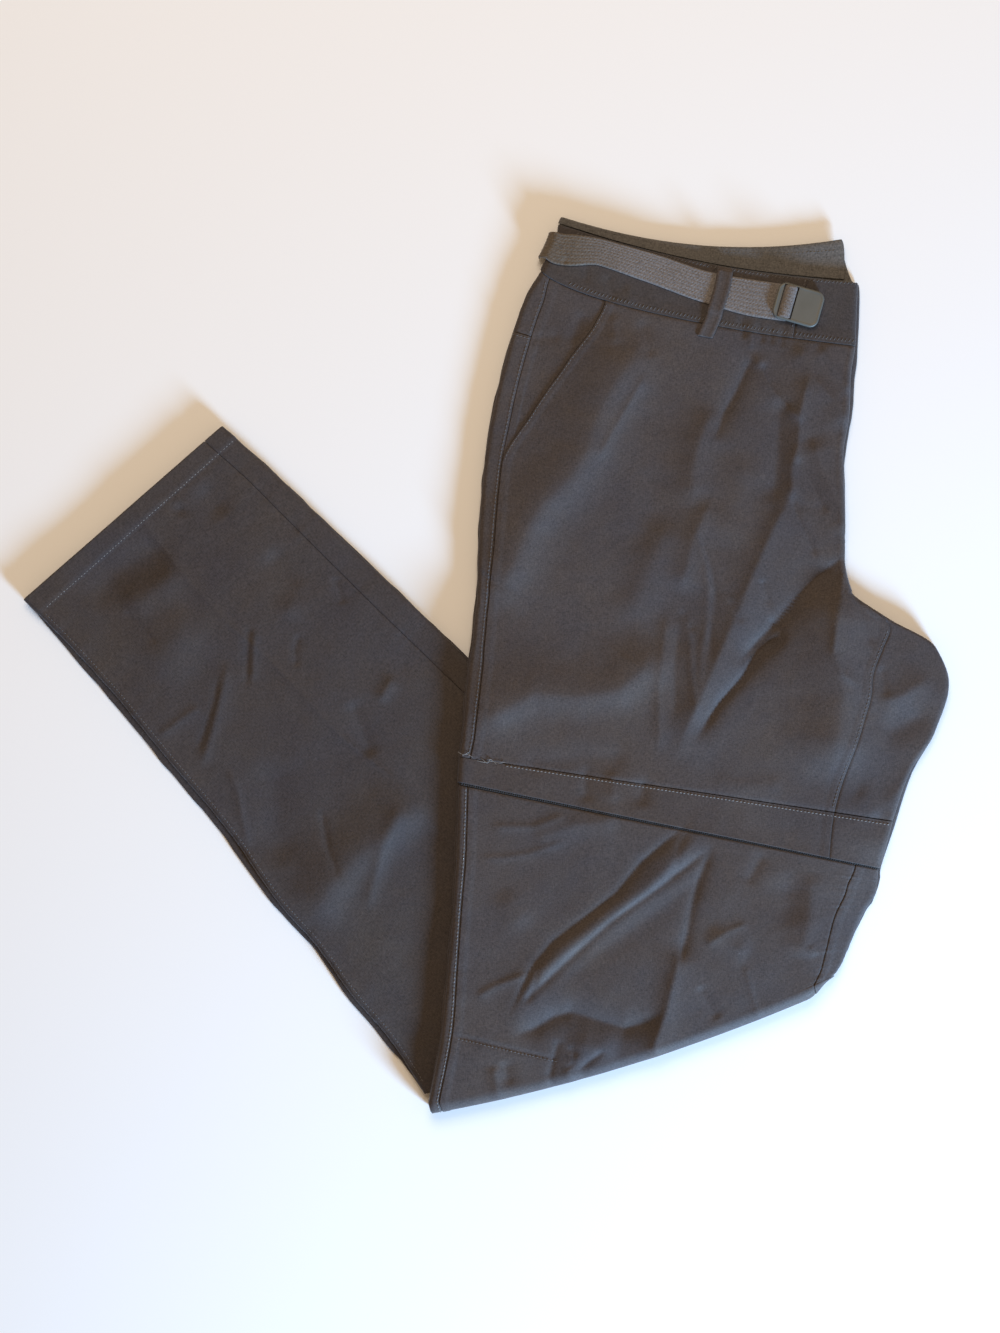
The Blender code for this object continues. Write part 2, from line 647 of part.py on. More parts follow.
def build_buckle():
    """Plastic plate on the webbing, and the webbing's turn round the bar between its slots."""
    seat = thigh.table.read("rise", WAIST_SEAM) + BUCKLE_LIFT
    shrinks = (GAP, 0, 0, BUCKLE_EDGE)
    outlines = [rounded_outline(BUCKLE_LONG / 2 - shrink, BUCKLE_WIDE / 2 - shrink, BUCKLE_CORNER - shrink, 5)
                for shrink in shrinks]
    heights = (seat, seat + GAP, seat + BUCKLE_THICK - BUCKLE_EDGE, seat + BUCKLE_THICK)
    plate = buckle_loft("belt_buckle", outlines, heights, "buckle")
    for number, middle in enumerate(SLOT_PLACES):
        low, high = middle - SLOT_WIDE / 2, middle + SLOT_WIDE / 2
        outline = ((low, -SLOT_LONG / 2), (high, -SLOT_LONG / 2), (high, SLOT_LONG / 2), (low, SLOT_LONG / 2))
        heights = (seat - CUTTER_EXTRA, seat + BUCKLE_THICK + CUTTER_EXTRA)
        cutter = buckle_loft("slot_cutter_%d" % (number + 1), (outline, outline), heights, "buckle")
        cutter.hide_render = True
        cutter.display_type = "WIRE"
        cut = plate.modifiers.new("slot_%d" % (number + 1), "BOOLEAN")
        cut.object = cutter
        cut.solver = "EXACT"

    low, over = seat + GAP, seat + BUCKLE_THICK + GAP
    left = SLOT_PLACES[0] - SLOT_WIDE / 2 + GAP
    right = SLOT_PLACES[1] + SLOT_WIDE / 2 - GAP
    leg = SLOT_WIDE - 3 * GAP
    section = ((left, low), (left, over), (left + TURN_SHOULDER, over + TURN_PROUD),
               (right - TURN_SHOULDER, over + TURN_PROUD), (right, over), (right, low),
               (right - leg, low), (right - leg, over), (left + leg, over), (left + leg, low))
    rings = []
    for across in (-TURN_WIDE / 2, TURN_WIDE / 2):
        rings.append([buckle_place(along, across, height) for along, height in section[::-1]])
    loft("belt_webbing_turn", rings, "webbing")


def build_zip_cover():
    """Band that hangs over the zip at the knee, stitched along its top, and the zip's tape."""
    rows = rows_between(THIGH_DOWNS, COVER_STITCHES, COVER_EDGE + SEAM)

    def outer(down):
        return COVER_PROUD * (down - COVER_STITCHES) / (COVER_EDGE - COVER_STITCHES)

    def inner(down):
        part = min((down - COVER_STITCHES) / (ZIP_TOP - COVER_STITCHES), 1.0)
        return -CLOTH + (CLOTH + COVER_CLEAR) * part

    panel("zip_cover_front", thigh, rows, part_of(thigh_columns, 0, INNER_SEAM_AT), outer, inner)
    panel("zip_cover_back", thigh, rows, part_of(thigh_columns, INNER_SEAM_AT, LAST_AT), outer, inner)
    panel("zip_tape", thigh, [ZIP_TOP + GAP, COVER_EDGE, KNEE_TOP - GAP], thigh_columns, material="zip")


def build_knee():
    """Zip-off lower part of the right leg, from the zip round the fold at the knee."""
    rows = [down for down in THIGH_DOWNS if down >= KNEE_TOP] + ROLL_DOWNS[1:]
    panel("knee_back_side", thigh, rows, part_of(thigh_columns, 0, SIDE_AT))
    panel("knee_front", thigh, rows, part_of(thigh_columns, SIDE_AT, KNEE_SEAM_AT))
    panel("knee_back_inner", thigh, rows, part_of(thigh_columns, KNEE_SEAM_AT, LAST_AT))


def build_lower_leg():
    """Left leg's lower part, from its hem to where it goes under the thighs and folds."""
    def outer(down):
        return HEM_RAISED if down <= HEM else 0.0

    panel("lower_leg_back_outseam", shin, SHIN_DOWNS, part_of(shin_columns, 0, SHIN_SIDE_AT), outer)
    panel("lower_leg_front", shin, SHIN_DOWNS, part_of(shin_columns, SHIN_SIDE_AT, SHIN_INSEAM_AT), outer)
    panel("lower_leg_back_inseam", shin, SHIN_DOWNS, part_of(shin_columns, SHIN_INSEAM_AT, SHIN_LAST_AT), outer)


for item in list(bpy.data.objects):
    bpy.data.objects.remove(item)
build_hidden_layers()
build_thigh_front()
build_thigh_sides()
build_waistband()
build_belt()
build_buckle()
build_zip_cover()
build_knee()
build_lower_leg()
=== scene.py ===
"""Looks of a pair of hiking trousers with zip-off lower legs, folded and laid flat."""
import math

import bpy
import numpy as np
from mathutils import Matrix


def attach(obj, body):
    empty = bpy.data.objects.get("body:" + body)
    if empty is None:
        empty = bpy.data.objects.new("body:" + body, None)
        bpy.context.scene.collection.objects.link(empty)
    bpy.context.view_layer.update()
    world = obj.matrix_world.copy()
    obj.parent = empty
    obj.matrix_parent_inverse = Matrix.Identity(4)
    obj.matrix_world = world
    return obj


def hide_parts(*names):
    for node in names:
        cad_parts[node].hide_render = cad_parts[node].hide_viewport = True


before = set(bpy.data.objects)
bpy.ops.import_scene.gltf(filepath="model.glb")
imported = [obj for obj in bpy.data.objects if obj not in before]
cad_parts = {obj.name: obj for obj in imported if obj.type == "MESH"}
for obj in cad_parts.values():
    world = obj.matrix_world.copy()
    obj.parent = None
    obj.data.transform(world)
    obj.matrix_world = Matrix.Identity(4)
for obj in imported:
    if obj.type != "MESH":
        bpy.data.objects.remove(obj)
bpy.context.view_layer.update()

# The two thighs, the right one on top with its front up. Each is a tube of charcoal nylon pressed
# flat, so the pair is a strip of cloth with rounded edges. A row of it runs straight across, so
# many millimetres down its left edge from the waist seam, and its seams are measured over the cloth.
MM = 0.001
CLOTH = 1.2
LIP_IN = 3.2
LIP_DROP = 2.6
LIP_ARC = 4.6
WAIST_Y = 269.0
WAIST_EDGE = -31.0
CROTCH = 220.0
FOLD_START = 566.0
FOLD_END = 590.0
FOLD_LEFT = (-39.0, -297.0)
FOLD_RIGHT = (229.0, -213.0)
FOLD_TURN = math.radians(160)
FOLD_OVER = 8.0
FOLD_UNDER = 4.0
CORNER_WIDE = 20.0
CORNER_FORWARD = 0.15
THIGH_COLUMNS = ("down left_x right_x right_y bow bow_at rise side_seam pocket inner_seam knee_seam "
                 "reach_left reach_right")
THIGH_ROWS = (
    (-37.0, 51, 243, 291, 12, 0.50, 5.4, 8, 40, 36, 0, 0, 0),
    (-31.4, 49, 253, 260, 7, 0.50, 5.4, 8, 42, 36, 0, 0, 0),
    (-31.0, 49, 253, 260, 7, 0.50, 9.6, 8, 42, 36, 0, 0, 1),
    (0, 37, 251, 217, 11, 0.33, 9.6, 8, 48, 45, 0, 0, 3),
    (18, 27, 248, 198, 8, 0.40, 9.0, 13, 51, 0, 0, 0, 4),
    (54, 15, 247, 172, 3, 0.50, 8.8, 14, 43, 0, 0, 0.5, 3),
    (95, 5, 243, 140, 0, 0.50, 8.6, 14, 28, 0, 0, 1.0, 2),
    (131, -1, 244, 101, 0, 0.50, 8.6, 13, 14.2, 0, 0, 0.5, 1),
    (184, -5, 244, 72, 0, 0.50, 8.6, 12, 13.2, 0, 0, 0.5, 0.5),
    (220, -6, 249, 50, 0, 0.50, 8.6, 9.5, 10.7, 2, 0, 0.5, 0.5),
    (235, -7.5, 274, 32, 0, 0.50, 8.6, 9.5, 10.7, 5, 0, 1.0, 0.5),
    (252, -9, 306, 12.6, 0, 0.50, 8.6, 9.5, 10.7, 37, 18, 1.0, 0.5),
    (272, -12, 315, -12.6, 0, 0.50, 8.6, 11, 12.2, 54, 20, 1.0, 1),
    (306, -15, 305, -47, 0, 0.50, 8.6, 10, 11.2, 52, 20, 1.0, 1),
    (318, -16, 288, -74, 0, 0.50, 8.6, 9.5, 10.7, 44, 18, 1.0, 2),
    (331, -18, 277, -106, 0, 0.50, 8.6, 9, 10.2, 42, 18, 1.0, 3),
    (348, -18.5, 268, -138, 0, 0.50, 8.6, 8, 9.2, 37, 18, 1.0, 2),
    (394, -20, 266, -154, 1, 0.50, 8.6, 8, 9.2, 37, 22, 1.0, 1),
    (439, -22.5, 257, -170, 3, 0.50, 8.6, 7, 8.2, 37, 21, 1.0, 1),
    (476, -26, 248, -190, 5, 0.50, 8.6, 8, 9.2, 37, 18, 1.0, 1),
    (517, -30, 241, -205, 7, 0.50, 8.6, 9, 10.2, 37, 16, 1.0, 0.5),
    (566, -39, 236, -211, 9, 0.50, 8.6, 9, 10.2, 37, 16, 0.5, 0.5),
)
LOWER_LEG_CORNER = (-11.6, 3.7)
LOWER_LEG_ALONG = (0.7236, -0.6902)
OVER_LOWER_LEG = 7.9
UNDERSIDE_STEP = (14.0, 28.0)
TOP_SLOPE = (-10.0, 55.0)

# Folds of the thighs: how wide, how high (below 0 for a trough), 1 for a sharp crest to 2 for a round
# one, how much steeper the side left of the line is, and the places that the fold passes. Between
# them the cloth is a little uneven, in hills of some sizes and heights.
THIGH_FOLDS = (
    (22, 4.6, 1.7, 0.3, (112, 232), (96, 205), (82, 184), (73, 165), (68, 147), (56, 127), (39, 111),
     (28, 95), (20, 74), (10, 54), (-8, 38)),
    (18, 3.6, 1.7, -0.3, (-14, -44), (8, -31), (33, -18), (63, -20), (90, -16), (106, -2), (116, 20)),
    (25, 5.6, 1.6, 0.1, (246, 64), (240, 34), (238, 4), (242, -20), (238, -48), (230, -84)),
    (14, 2.7, 1.1, -0.25, (211, 131), (207, 115), (194, 91), (181, 61), (170, 34), (159, 9), (145, -24),
     (135, -45), (128, -66)),
    (11, -2.5, 1.2, 0.1, (240, 71), (224, 58), (211, 44), (200, 31), (186, 17), (168, -2)),
    (2.4, -0.9, 1.1, 0.0, (248, 78), (224, 58), (211, 44), (200, 31), (186, 17), (170, 0)),
    (6, -2.0, 1.15, 0.1, (205, 25), (186, 9), (173, -10), (156, -29), (140, -54)),
    (2.4, -0.9, 1.1, 0.0, (203, 22), (186, 9), (173, -10), (160, -24), (146, -46)),
    (2.2, -0.9, 1.2, 0.0, (191, 32), (200, 25), (202, 21), (200, 17), (191, 13)),
    (6, 1.2, 1.2, 0.0, (110, 200), (99, 181), (86, 159), (75, 138)),
    (12, 2.1, 1.4, 0.0, (156, 178), (148, 160), (143, 146), (140, 131), (141, 106)),
    (10, 1.7, 1.3, 0.0, (154, 116), (148, 102), (140, 84), (136, 66), (130, 48)),
    (14, -0.8, 1.8, 0.0, (118, 140), (112, 104), (104, 72)),
    (12, 1.3, 1.8, 0.0, (124, 102), (112, 66), (96, 28)),
    (14, 1.3, 1.9, 0.0, (178, 146), (170, 110), (160, 76)),
    (4.5, 0.9, 1.2, 0.0, (141, 96), (149, 70), (151, 53), (151, 31), (146, 9), (145, -24)),
    (2.6, -0.7, 1.1, 0.0, (144, 93), (153, 66), (156, 50), (153, 30), (152, 2)),
    (3.5, 0.8, 1.3, 0.1, (136, 40), (139, 12), (140, -10), (144, -38)),
    (5, 0.9, 1.3, -0.1, (124, 40), (120, 8), (117, -18), (118, -62)),
    (3, -0.5, 1.3, 0.0, (131, 30), (128, -4), (129, -36)),
    (2.2, -0.7, 1.2, 0.0, (133, 38), (141, 23)),
    (2.2, -0.7, 1.2, 0.0, (166, 45), (174, 29)),
    (2.2, -0.7, 1.2, 0.0, (187, 59), (193, 40)),
    (4.5, 1.6, 1.1, 0.0, (181, 213), (192, 191), (203, 178), (216, 164)),
    (3.0, -1.2, 1.1, 0.0, (186, 207), (197, 188), (208, 172)),
    (6, -1.7, 1.2, 0.0, (182, 212), (170, 186), (162, 172), (155, 152)),
    (8, 2.1, 1.1, -0.1, (220, 200), (213, 170), (212, 150), (208, 136), (207, 106)),
    (9, -1.5, 1.4, 0.0, (200, 184), (199, 146), (196, 108)),
    (2.4, -1.0, 1.1, 0.0, (206, 119), (212, 101), (219, 86), (225, 72)),
    (2.6, -0.9, 1.2, 0.0, (210, 143), (222, 122), (232, 102)),
    (7, 2.0, 1.2, 0.0, (209, 220), (222, 196), (236, 180), (247, 160)),
    (5, 1.3, 1.2, 0.0, (226, 218), (238, 200), (249, 184)),
    (8, 2.2, 1.3, 0.0, (220, 156), (230, 130), (240, 108), (248, 86)),
    (2.8, 1.2, 1.1, 0.0, (245, 74), (238, 36), (235, 9), (241, -5), (256, -17)),
    (3, -0.9, 1.2, 0.0, (249, 56), (255, 34), (263, 12)),
    (9, 1.5, 1.4, 0.0, (304, -6), (284, -20), (264, -27)),
    (10, -1.5, 1.7, 0.0, (304, -30), (286, -40), (266, -50)),
    (3, -0.6, 1.3, 0.0, (268, 0), (272, -22)),
    (6, 1.1, 1.3, 0.0, (252, -84), (268, -104)),
    (6, 1.0, 1.3, 0.0, (270, -98), (292, -70)),
    (2.4, -0.9, 1.3, 0.0, (172, 237), (176, 222)),
    (2.2, -0.8, 1.3, 0.0, (184, 233), (189, 219)),
    (2.2, -0.7, 1.3, 0.0, (192, 231), (195, 218)),
    (2.6, -0.7, 1.3, 0.0, (200, 229), (202, 216)),
    (3, 0.5, 1.3, 0.0, (180, 235), (180, 214)),
    (5, -0.7, 1.6, 0.0, (105, 236), (113, 208)),
    (5, -0.7, 1.6, 0.0, (67, 242), (58, 216)),
    (5, 0.7, 1.6, 0.0, (86, 240), (88, 216)),
    (4, -0.5, 1.6, 0.0, (28, 222), (52, 224)),
    (2.2, -0.5, 1.3, 0.0, (53, 278), (54, 271)),
    (2.6, -0.5, 1.3, 0.0, (67, 274), (69, 260)),
    (3.2, -0.6, 1.3, 0.0, (81, 266), (87, 246)),
    (3.2, 0.6, 1.4, 0.0, (95, 258), (100, 244)),
    (9, -0.9, 1.8, 0.0, (20, -66), (60, -64), (100, -62)),
    (2.6, 0.5, 1.2, 0.2, (154, -76), (173, -82), (203, -80)),
    (5, -0.8, 1.5, 0.0, (68, -66), (67, -94)),
    (6, -0.9, 1.5, 0.0, (108, -74), (104, -98)),
    (5, 0.7, 1.5, 0.0, (86, -70), (86, -94)),
    (3, 0.7, 1.2, 0.2, (2, -109), (33, -109), (56, -100)),
    (2.2, 0.5, 1.15, 0.3, (-6, -130), (12, -130), (29, -127), (56, -118)),
    (8, 1.2, 1.6, 0.0, (30, -118), (60, -108), (92, -104)),
    (9, 2.0, 1.5, 0.0, (12, -243), (36, -209), (58, -190), (82, -172), (108, -152), (130, -130),
     (152, -108)),
    (3.0, -1.3, 1.1, 0.0, (12, -243), (31, -205), (45, -188), (62, -175), (88, -155), (106, -133),
     (142, -103)),
    (3.2, -1.5, 1.1, 0.0, (18, -235), (53, -202), (84, -174), (119, -149), (158, -119)),
    (12, -1.2, 1.6, 0.0, (46, -220), (84, -190), (120, -164), (154, -136)),
    (2.4, -0.8, 1.2, 0.0, (36, -204), (33, -215), (27, -229)),
    (2.4, 0.8, 1.15, 0.2, (-8, -225), (6, -217), (29, -208)),
    (4, -1.4, 1.15, 0.0, (155, -120), (144, -146), (139, -165), (136, -183), (129, -208)),
    (8, 2.0, 1.15, -0.2, (133, -188), (126, -216), (122, -233), (114, -256), (109, -272)),
    (3, -0.5, 1.2, 0.0, (123, -145), (127, -140), (131, -122), (138, -110)),
    (7, -2.3, 1.3, 0.0, (15, -252), (33, -246), (46, -238), (58, -235), (75, -240), (94, -246), (110, -242),
     (122, -232)),
    (12, 2.0, 1.7, 0.0, (52, -254), (72, -258), (92, -262)),
    (2.4, -0.9, 1.3, 0.0, (81, -260), (70, -268), (57, -280)),
    (2.6, -0.8, 1.3, 0.0, (50, -252), (46, -266), (42, -282)),
    (1.8, -0.7, 1.2, 0.0, (56, -257), (60, -262), (59, -269), (54, -274)),
    (4, 1.0, 1.3, 0.0, (62, -262), (56, -274), (50, -286)),
    (5, -1.0, 1.5, 0.0, (12, -266), (16, -286)),
    (4, 0.9, 1.4, 0.0, (5, -270), (8, -292)),
    (1.9, 0.45, 1.1, 0.0, (175, -202), (180, -222), (185, -240)),
    (7, 0.9, 1.5, 0.0, (150, -176), (166, -190), (180, -196)),
    (3.5, 0.7, 1.2, 0.2, (148, -190), (163, -180), (178, -174)),
    (4, -0.8, 1.3, 0.0, (144, -216), (150, -228), (158, -240)),
    (3, 0.6, 1.3, 0.0, (219, -189), (224, -198)),
    (12, -1.2, 1.8, 0.0, (203, -139), (207, -180)),
    (8, 1.0, 1.6, 0.0, (222, -140), (220, -170), (212, -200)),
    (5, -0.8, 1.5, 0.0, (190, -126), (176, -150)),
    (10, 1.1, 1.8, 0.0, (10, -150), (30, -180)),
    (17, -3.0, 1.6, 0.0, (276, -118), (268, -146), (259, -172), (250, -198), (240, -214), (222, -228)),
    (1.1, -0.6, 1.4, 0.3, (-26, -250), (-18, -251), (16, -259), (50, -267)),
)
FOLD_DEPTH = 1.3
FOLD_REACH = 3
FADE_PART = 0.17
FADE_WIDTHS = 1.4
FINE_FOLDS = ((38.0, 0.55), (17.0, 0.20), (8.0, 0.08), (3.6, 0.03))
HILLS = 64


def ease(start, end, value):
    """Rises smoothly from 0 to 1 between two values."""
    part = np.clip((value - start) / (end - start), 0, 1)
    return part * part * (3 - 2 * part)


def follow(places, values, at):
    """A smooth curve through measures at some places, that never overshoots them."""
    steps = np.diff(places)
    slopes = np.diff(values) / steps
    before, after = slopes[:-1], slopes[1:]
    same_way = before * after > 0
    total = np.where(same_way, before + after, 1)
    inner = np.where(same_way, 2 * before * after / total, 0)
    bends = np.concatenate((slopes[:1], inner, slopes[-1:]))
    row = np.clip(np.searchsorted(places, at) - 1, 0, len(places) - 2)
    step = steps[row]
    part = np.clip((at - places[row]) / step, 0, 1)
    square, cube = part ** 2, part ** 3
    return ((2 * cube - 3 * square + 1) * values[row] + (3 * square - 2 * cube) * values[row + 1]
            + (cube - 2 * square + part) * step * bends[row] + (cube - square) * step * bends[row + 1])


def uneven(x, y, size, seed):
    """Smooth hills and hollows about this size, from -1 to 1."""
    heights = np.random.default_rng(seed).uniform(-1, 1, (HILLS, HILLS))
    column, row = x / size, y / size
    left, low = np.floor(column).astype(int), np.floor(row).astype(int)
    across, up = ease(0, 1, column - left), ease(0, 1, row - low)

    def along_row(line):
        line = line % HILLS
        return heights[left % HILLS, line] * (1 - across) + heights[(left + 1) % HILLS, line] * across

    return along_row(low) * (1 - up) + along_row(low + 1) * up


def fold_height(folds, x, y):
    """Height that folds add to the cloth. Each fades out over a part of its length at both ends."""
    x, y = np.broadcast_arrays(x, y)
    height = np.zeros(x.shape)
    for wide, high, crest, lean, *line in folds:
        line = np.array(line, float)
        reach = wide * (1 + abs(lean)) * FOLD_REACH
        low, far = line.min(axis=0) - reach, line.max(axis=0) + reach
        near = (x > low[0]) & (x < far[0]) & (y > low[1]) & (y < far[1])
        if not near.any():
            continue
        near_x, near_y = x[near], y[near]
        away = np.full(near_x.shape, np.inf)
        along, side = np.zeros(near_x.shape), np.zeros(near_x.shape)
        passed = 0.0
        for start, end in zip(line, line[1:]):
            run = end - start
            length = math.hypot(*run)
            from_x, from_y = near_x - start[0], near_y - start[1]
            part = np.clip((from_x * run[0] + from_y * run[1]) / length ** 2, 0, 1)
            off_x, off_y = from_x - part * run[0], from_y - part * run[1]
            distance = np.hypot(off_x, off_y)
            closer = distance < away
            away = np.where(closer, distance, away)
            along = np.where(closer, passed + part * length, along)
            side = np.where(closer, np.sign(run[0] * off_y - run[1] * off_x), side)
            passed += length
        width = wide * (1 - lean * side)
        fade = min(max(FADE_PART, FADE_WIDTHS * wide / passed), 0.5)
        ends = ease(0, fade, along / passed) * ease(0, fade, 1 - along / passed)
        height[near] += FOLD_DEPTH * high * ends * np.exp(-(away / width) ** crest)
    return height


class FlatLegs:
    """Two flattened legs lying on each other. Its table gives both edges and the seams of a row."""

    def __init__(self, columns, rows, folds, over_lower_leg):
        self.table = dict(zip(columns.split(), np.array(rows, float).T))
        self.folds = folds
        self.over_lower_leg = over_lower_leg

    def read(self, name, down):
        return follow(self.table["down"], self.table[name], np.asarray(down, float))

    def ends(self, down):
        down = np.minimum(down, self.table["down"][-1])
        left_y = WAIST_Y - down if self.over_lower_leg else self.read("left_y", down)
        return self.read("left_x", down), left_y, self.read("right_x", down), self.read("right_y", down)

    def width(self, down):
        left_x, left_y, right_x, right_y = self.ends(down)
        return np.hypot(right_x - left_x, right_y - left_y)

    def girth(self, down):
        return self.width(down) - 2 * LIP_IN + 2 * LIP_ARC

    def across(self, down, inward):
        """The place that lies this far in from the left edge. A row bows towards the knee."""
        left_x, left_y, right_x, right_y = self.ends(down)
        part = inward / self.width(down)
        inside = np.clip(part, 1e-6, 1)
        bent = inside ** (math.log(0.5) / np.log(self.read("bow_at", down)))
        bow = self.read("bow", down) * 4 * bent * (1 - bent)
        return left_x + (right_x - left_x) * part, left_y + (right_y - left_y) * part - bow

    def beyond_lower_leg(self, x, y):
        """How far past the inseam edge of the left lower leg a place lies."""
        away_x, away_y = x - LOWER_LEG_CORNER[0], y - LOWER_LEG_CORNER[1]
        return away_y * LOWER_LEG_ALONG[0] - away_x * LOWER_LEG_ALONG[1]

    def floor(self, x, y):
        """Height of what the legs lie on: the floor, or the left lower leg under the thighs."""
        if not self.over_lower_leg:
            return np.zeros(np.shape(x))
        return OVER_LOWER_LEG * (1 - ease(*UNDERSIDE_STEP, self.beyond_lower_leg(x, y)))

    def top(self, down, x, y):
        """Height of the cloth, with its folds and the unevenness between them."""
        height = self.read("rise", down) + fold_height(self.folds, x, y)
        for seed, (size, high) in enumerate(FINE_FOLDS):
            height = height + high * uneven(x, y, size, seed)
        if self.over_lower_leg:
            height = height + OVER_LOWER_LEG * (1 - ease(*TOP_SLOPE, self.beyond_lower_leg(x, y)))
        return height

    def turn_under(self, down, x, y, z, top, out):
        """Turns what lies past the knee fold round it, towards the floor."""
        if not self.over_lower_leg:
            return np.stack(np.broadcast_arrays(x, y, z), axis=-1)
        run_x, run_y = FOLD_RIGHT[0] - FOLD_LEFT[0], FOLD_RIGHT[1] - FOLD_LEFT[1]
        run = math.hypot(run_x, run_y)
        angle = math.pi / 2 - FOLD_TURN * np.maximum(down - FOLD_START, 0) / (FOLD_END - FOLD_START)
        middle = 0.5 * top
        above = angle >= 0
        forward = np.where(above, (FOLD_OVER + out) * np.cos(angle),
                           FOLD_OVER - FOLD_UNDER + (FOLD_UNDER + out) * np.cos(angle))
        from_corner = ease(0, CORNER_WIDE, self.table["right_x"][-1] - x)
        forward = forward * (CORNER_FORWARD + (1 - CORNER_FORWARD) * from_corner)
        over = np.where(z > middle, middle + (z - middle) * np.sin(angle), z)
        z = np.where(above, over, middle + (middle + out) * np.sin(angle))
        x, y = x + forward * run_y / run, y - forward * run_x / run
        return np.stack(np.broadcast_arrays(x, y, z), axis=-1)

    def surface(self, down, girth, out=0.0):
        """Points of the cloth's face at some rows and girths, moved out by some distance."""
        down, girth, out = np.broadcast_arrays(np.asarray(down, float), girth, out)
        total, width = self.girth(down), self.width(down)
        from_edge = np.minimum(girth, total - girth)
        angle = math.pi / 2 * np.clip(from_edge / LIP_ARC, 0, 1)
        inward = LIP_IN - (LIP_IN + out) * np.cos(angle) + np.maximum(from_edge - LIP_ARC, 0)
        rise = (LIP_DROP + out) * np.sin(angle) + np.minimum(from_edge, 0)
        x, y = self.across(down, np.where(girth > total / 2, width - inward, inward))
        top = self.top(down, x, y)
        return self.turn_under(down, x, y, top - LIP_DROP + rise, top, out)

    def place(self, down, inward, share, below=0.0):
        """Points of the layers under the top one, at a share of the height to the top one's edge."""
        down, inward, share = np.broadcast_arrays(np.asarray(down, float), inward, share)
        x, y = self.across(down, inward)
        top = self.top(down, x, y)
        low = self.floor(x, y)
        z = low + share * (top - LIP_DROP - low) - below
        return self.turn_under(down, x, y, z, top, -CLOTH)


thighs = FlatLegs(THIGH_COLUMNS, THIGH_ROWS, THIGH_FOLDS, True)

# Charcoal plain-weave nylon, matt, a little browner where it has worn and with a faint slub. The
# weave is a node group, which the webbing and the inside of the waistband use too.
CLOTH_COLOR = (0.048, 0.040, 0.043, 1)
CLOTH_WORN = (0.064, 0.050, 0.045, 1)
CLOTH_ROUGH = (0.62, 0.80)
CLOTH_SHEEN = 0.22
CLOTH_THREADS = 1700
CLOTH_BUMP = 0.00012
SLUB_SIZE = 1350
WEAVE_SHARE = 0.35
GRAIN = 0.62
GRAIN_RANGE = (0.95, 0.45)
PATCH_SIZES = ((14, 4, 0.7), (90, 3, 0.3))
PATCH_RANGE = (0.35, 0.68)
WEAVE_INPUTS = (("Color", "Color"), ("Worn Color", "Color"), ("Smoothest", "Float"), ("Roughest", "Float"),
                ("Turn", "Float"), ("Threads per Metre", "Float"))
WEAVE_OUTPUTS = (("Color", "Color"), ("Roughness", "Float"), ("Height", "Float"))


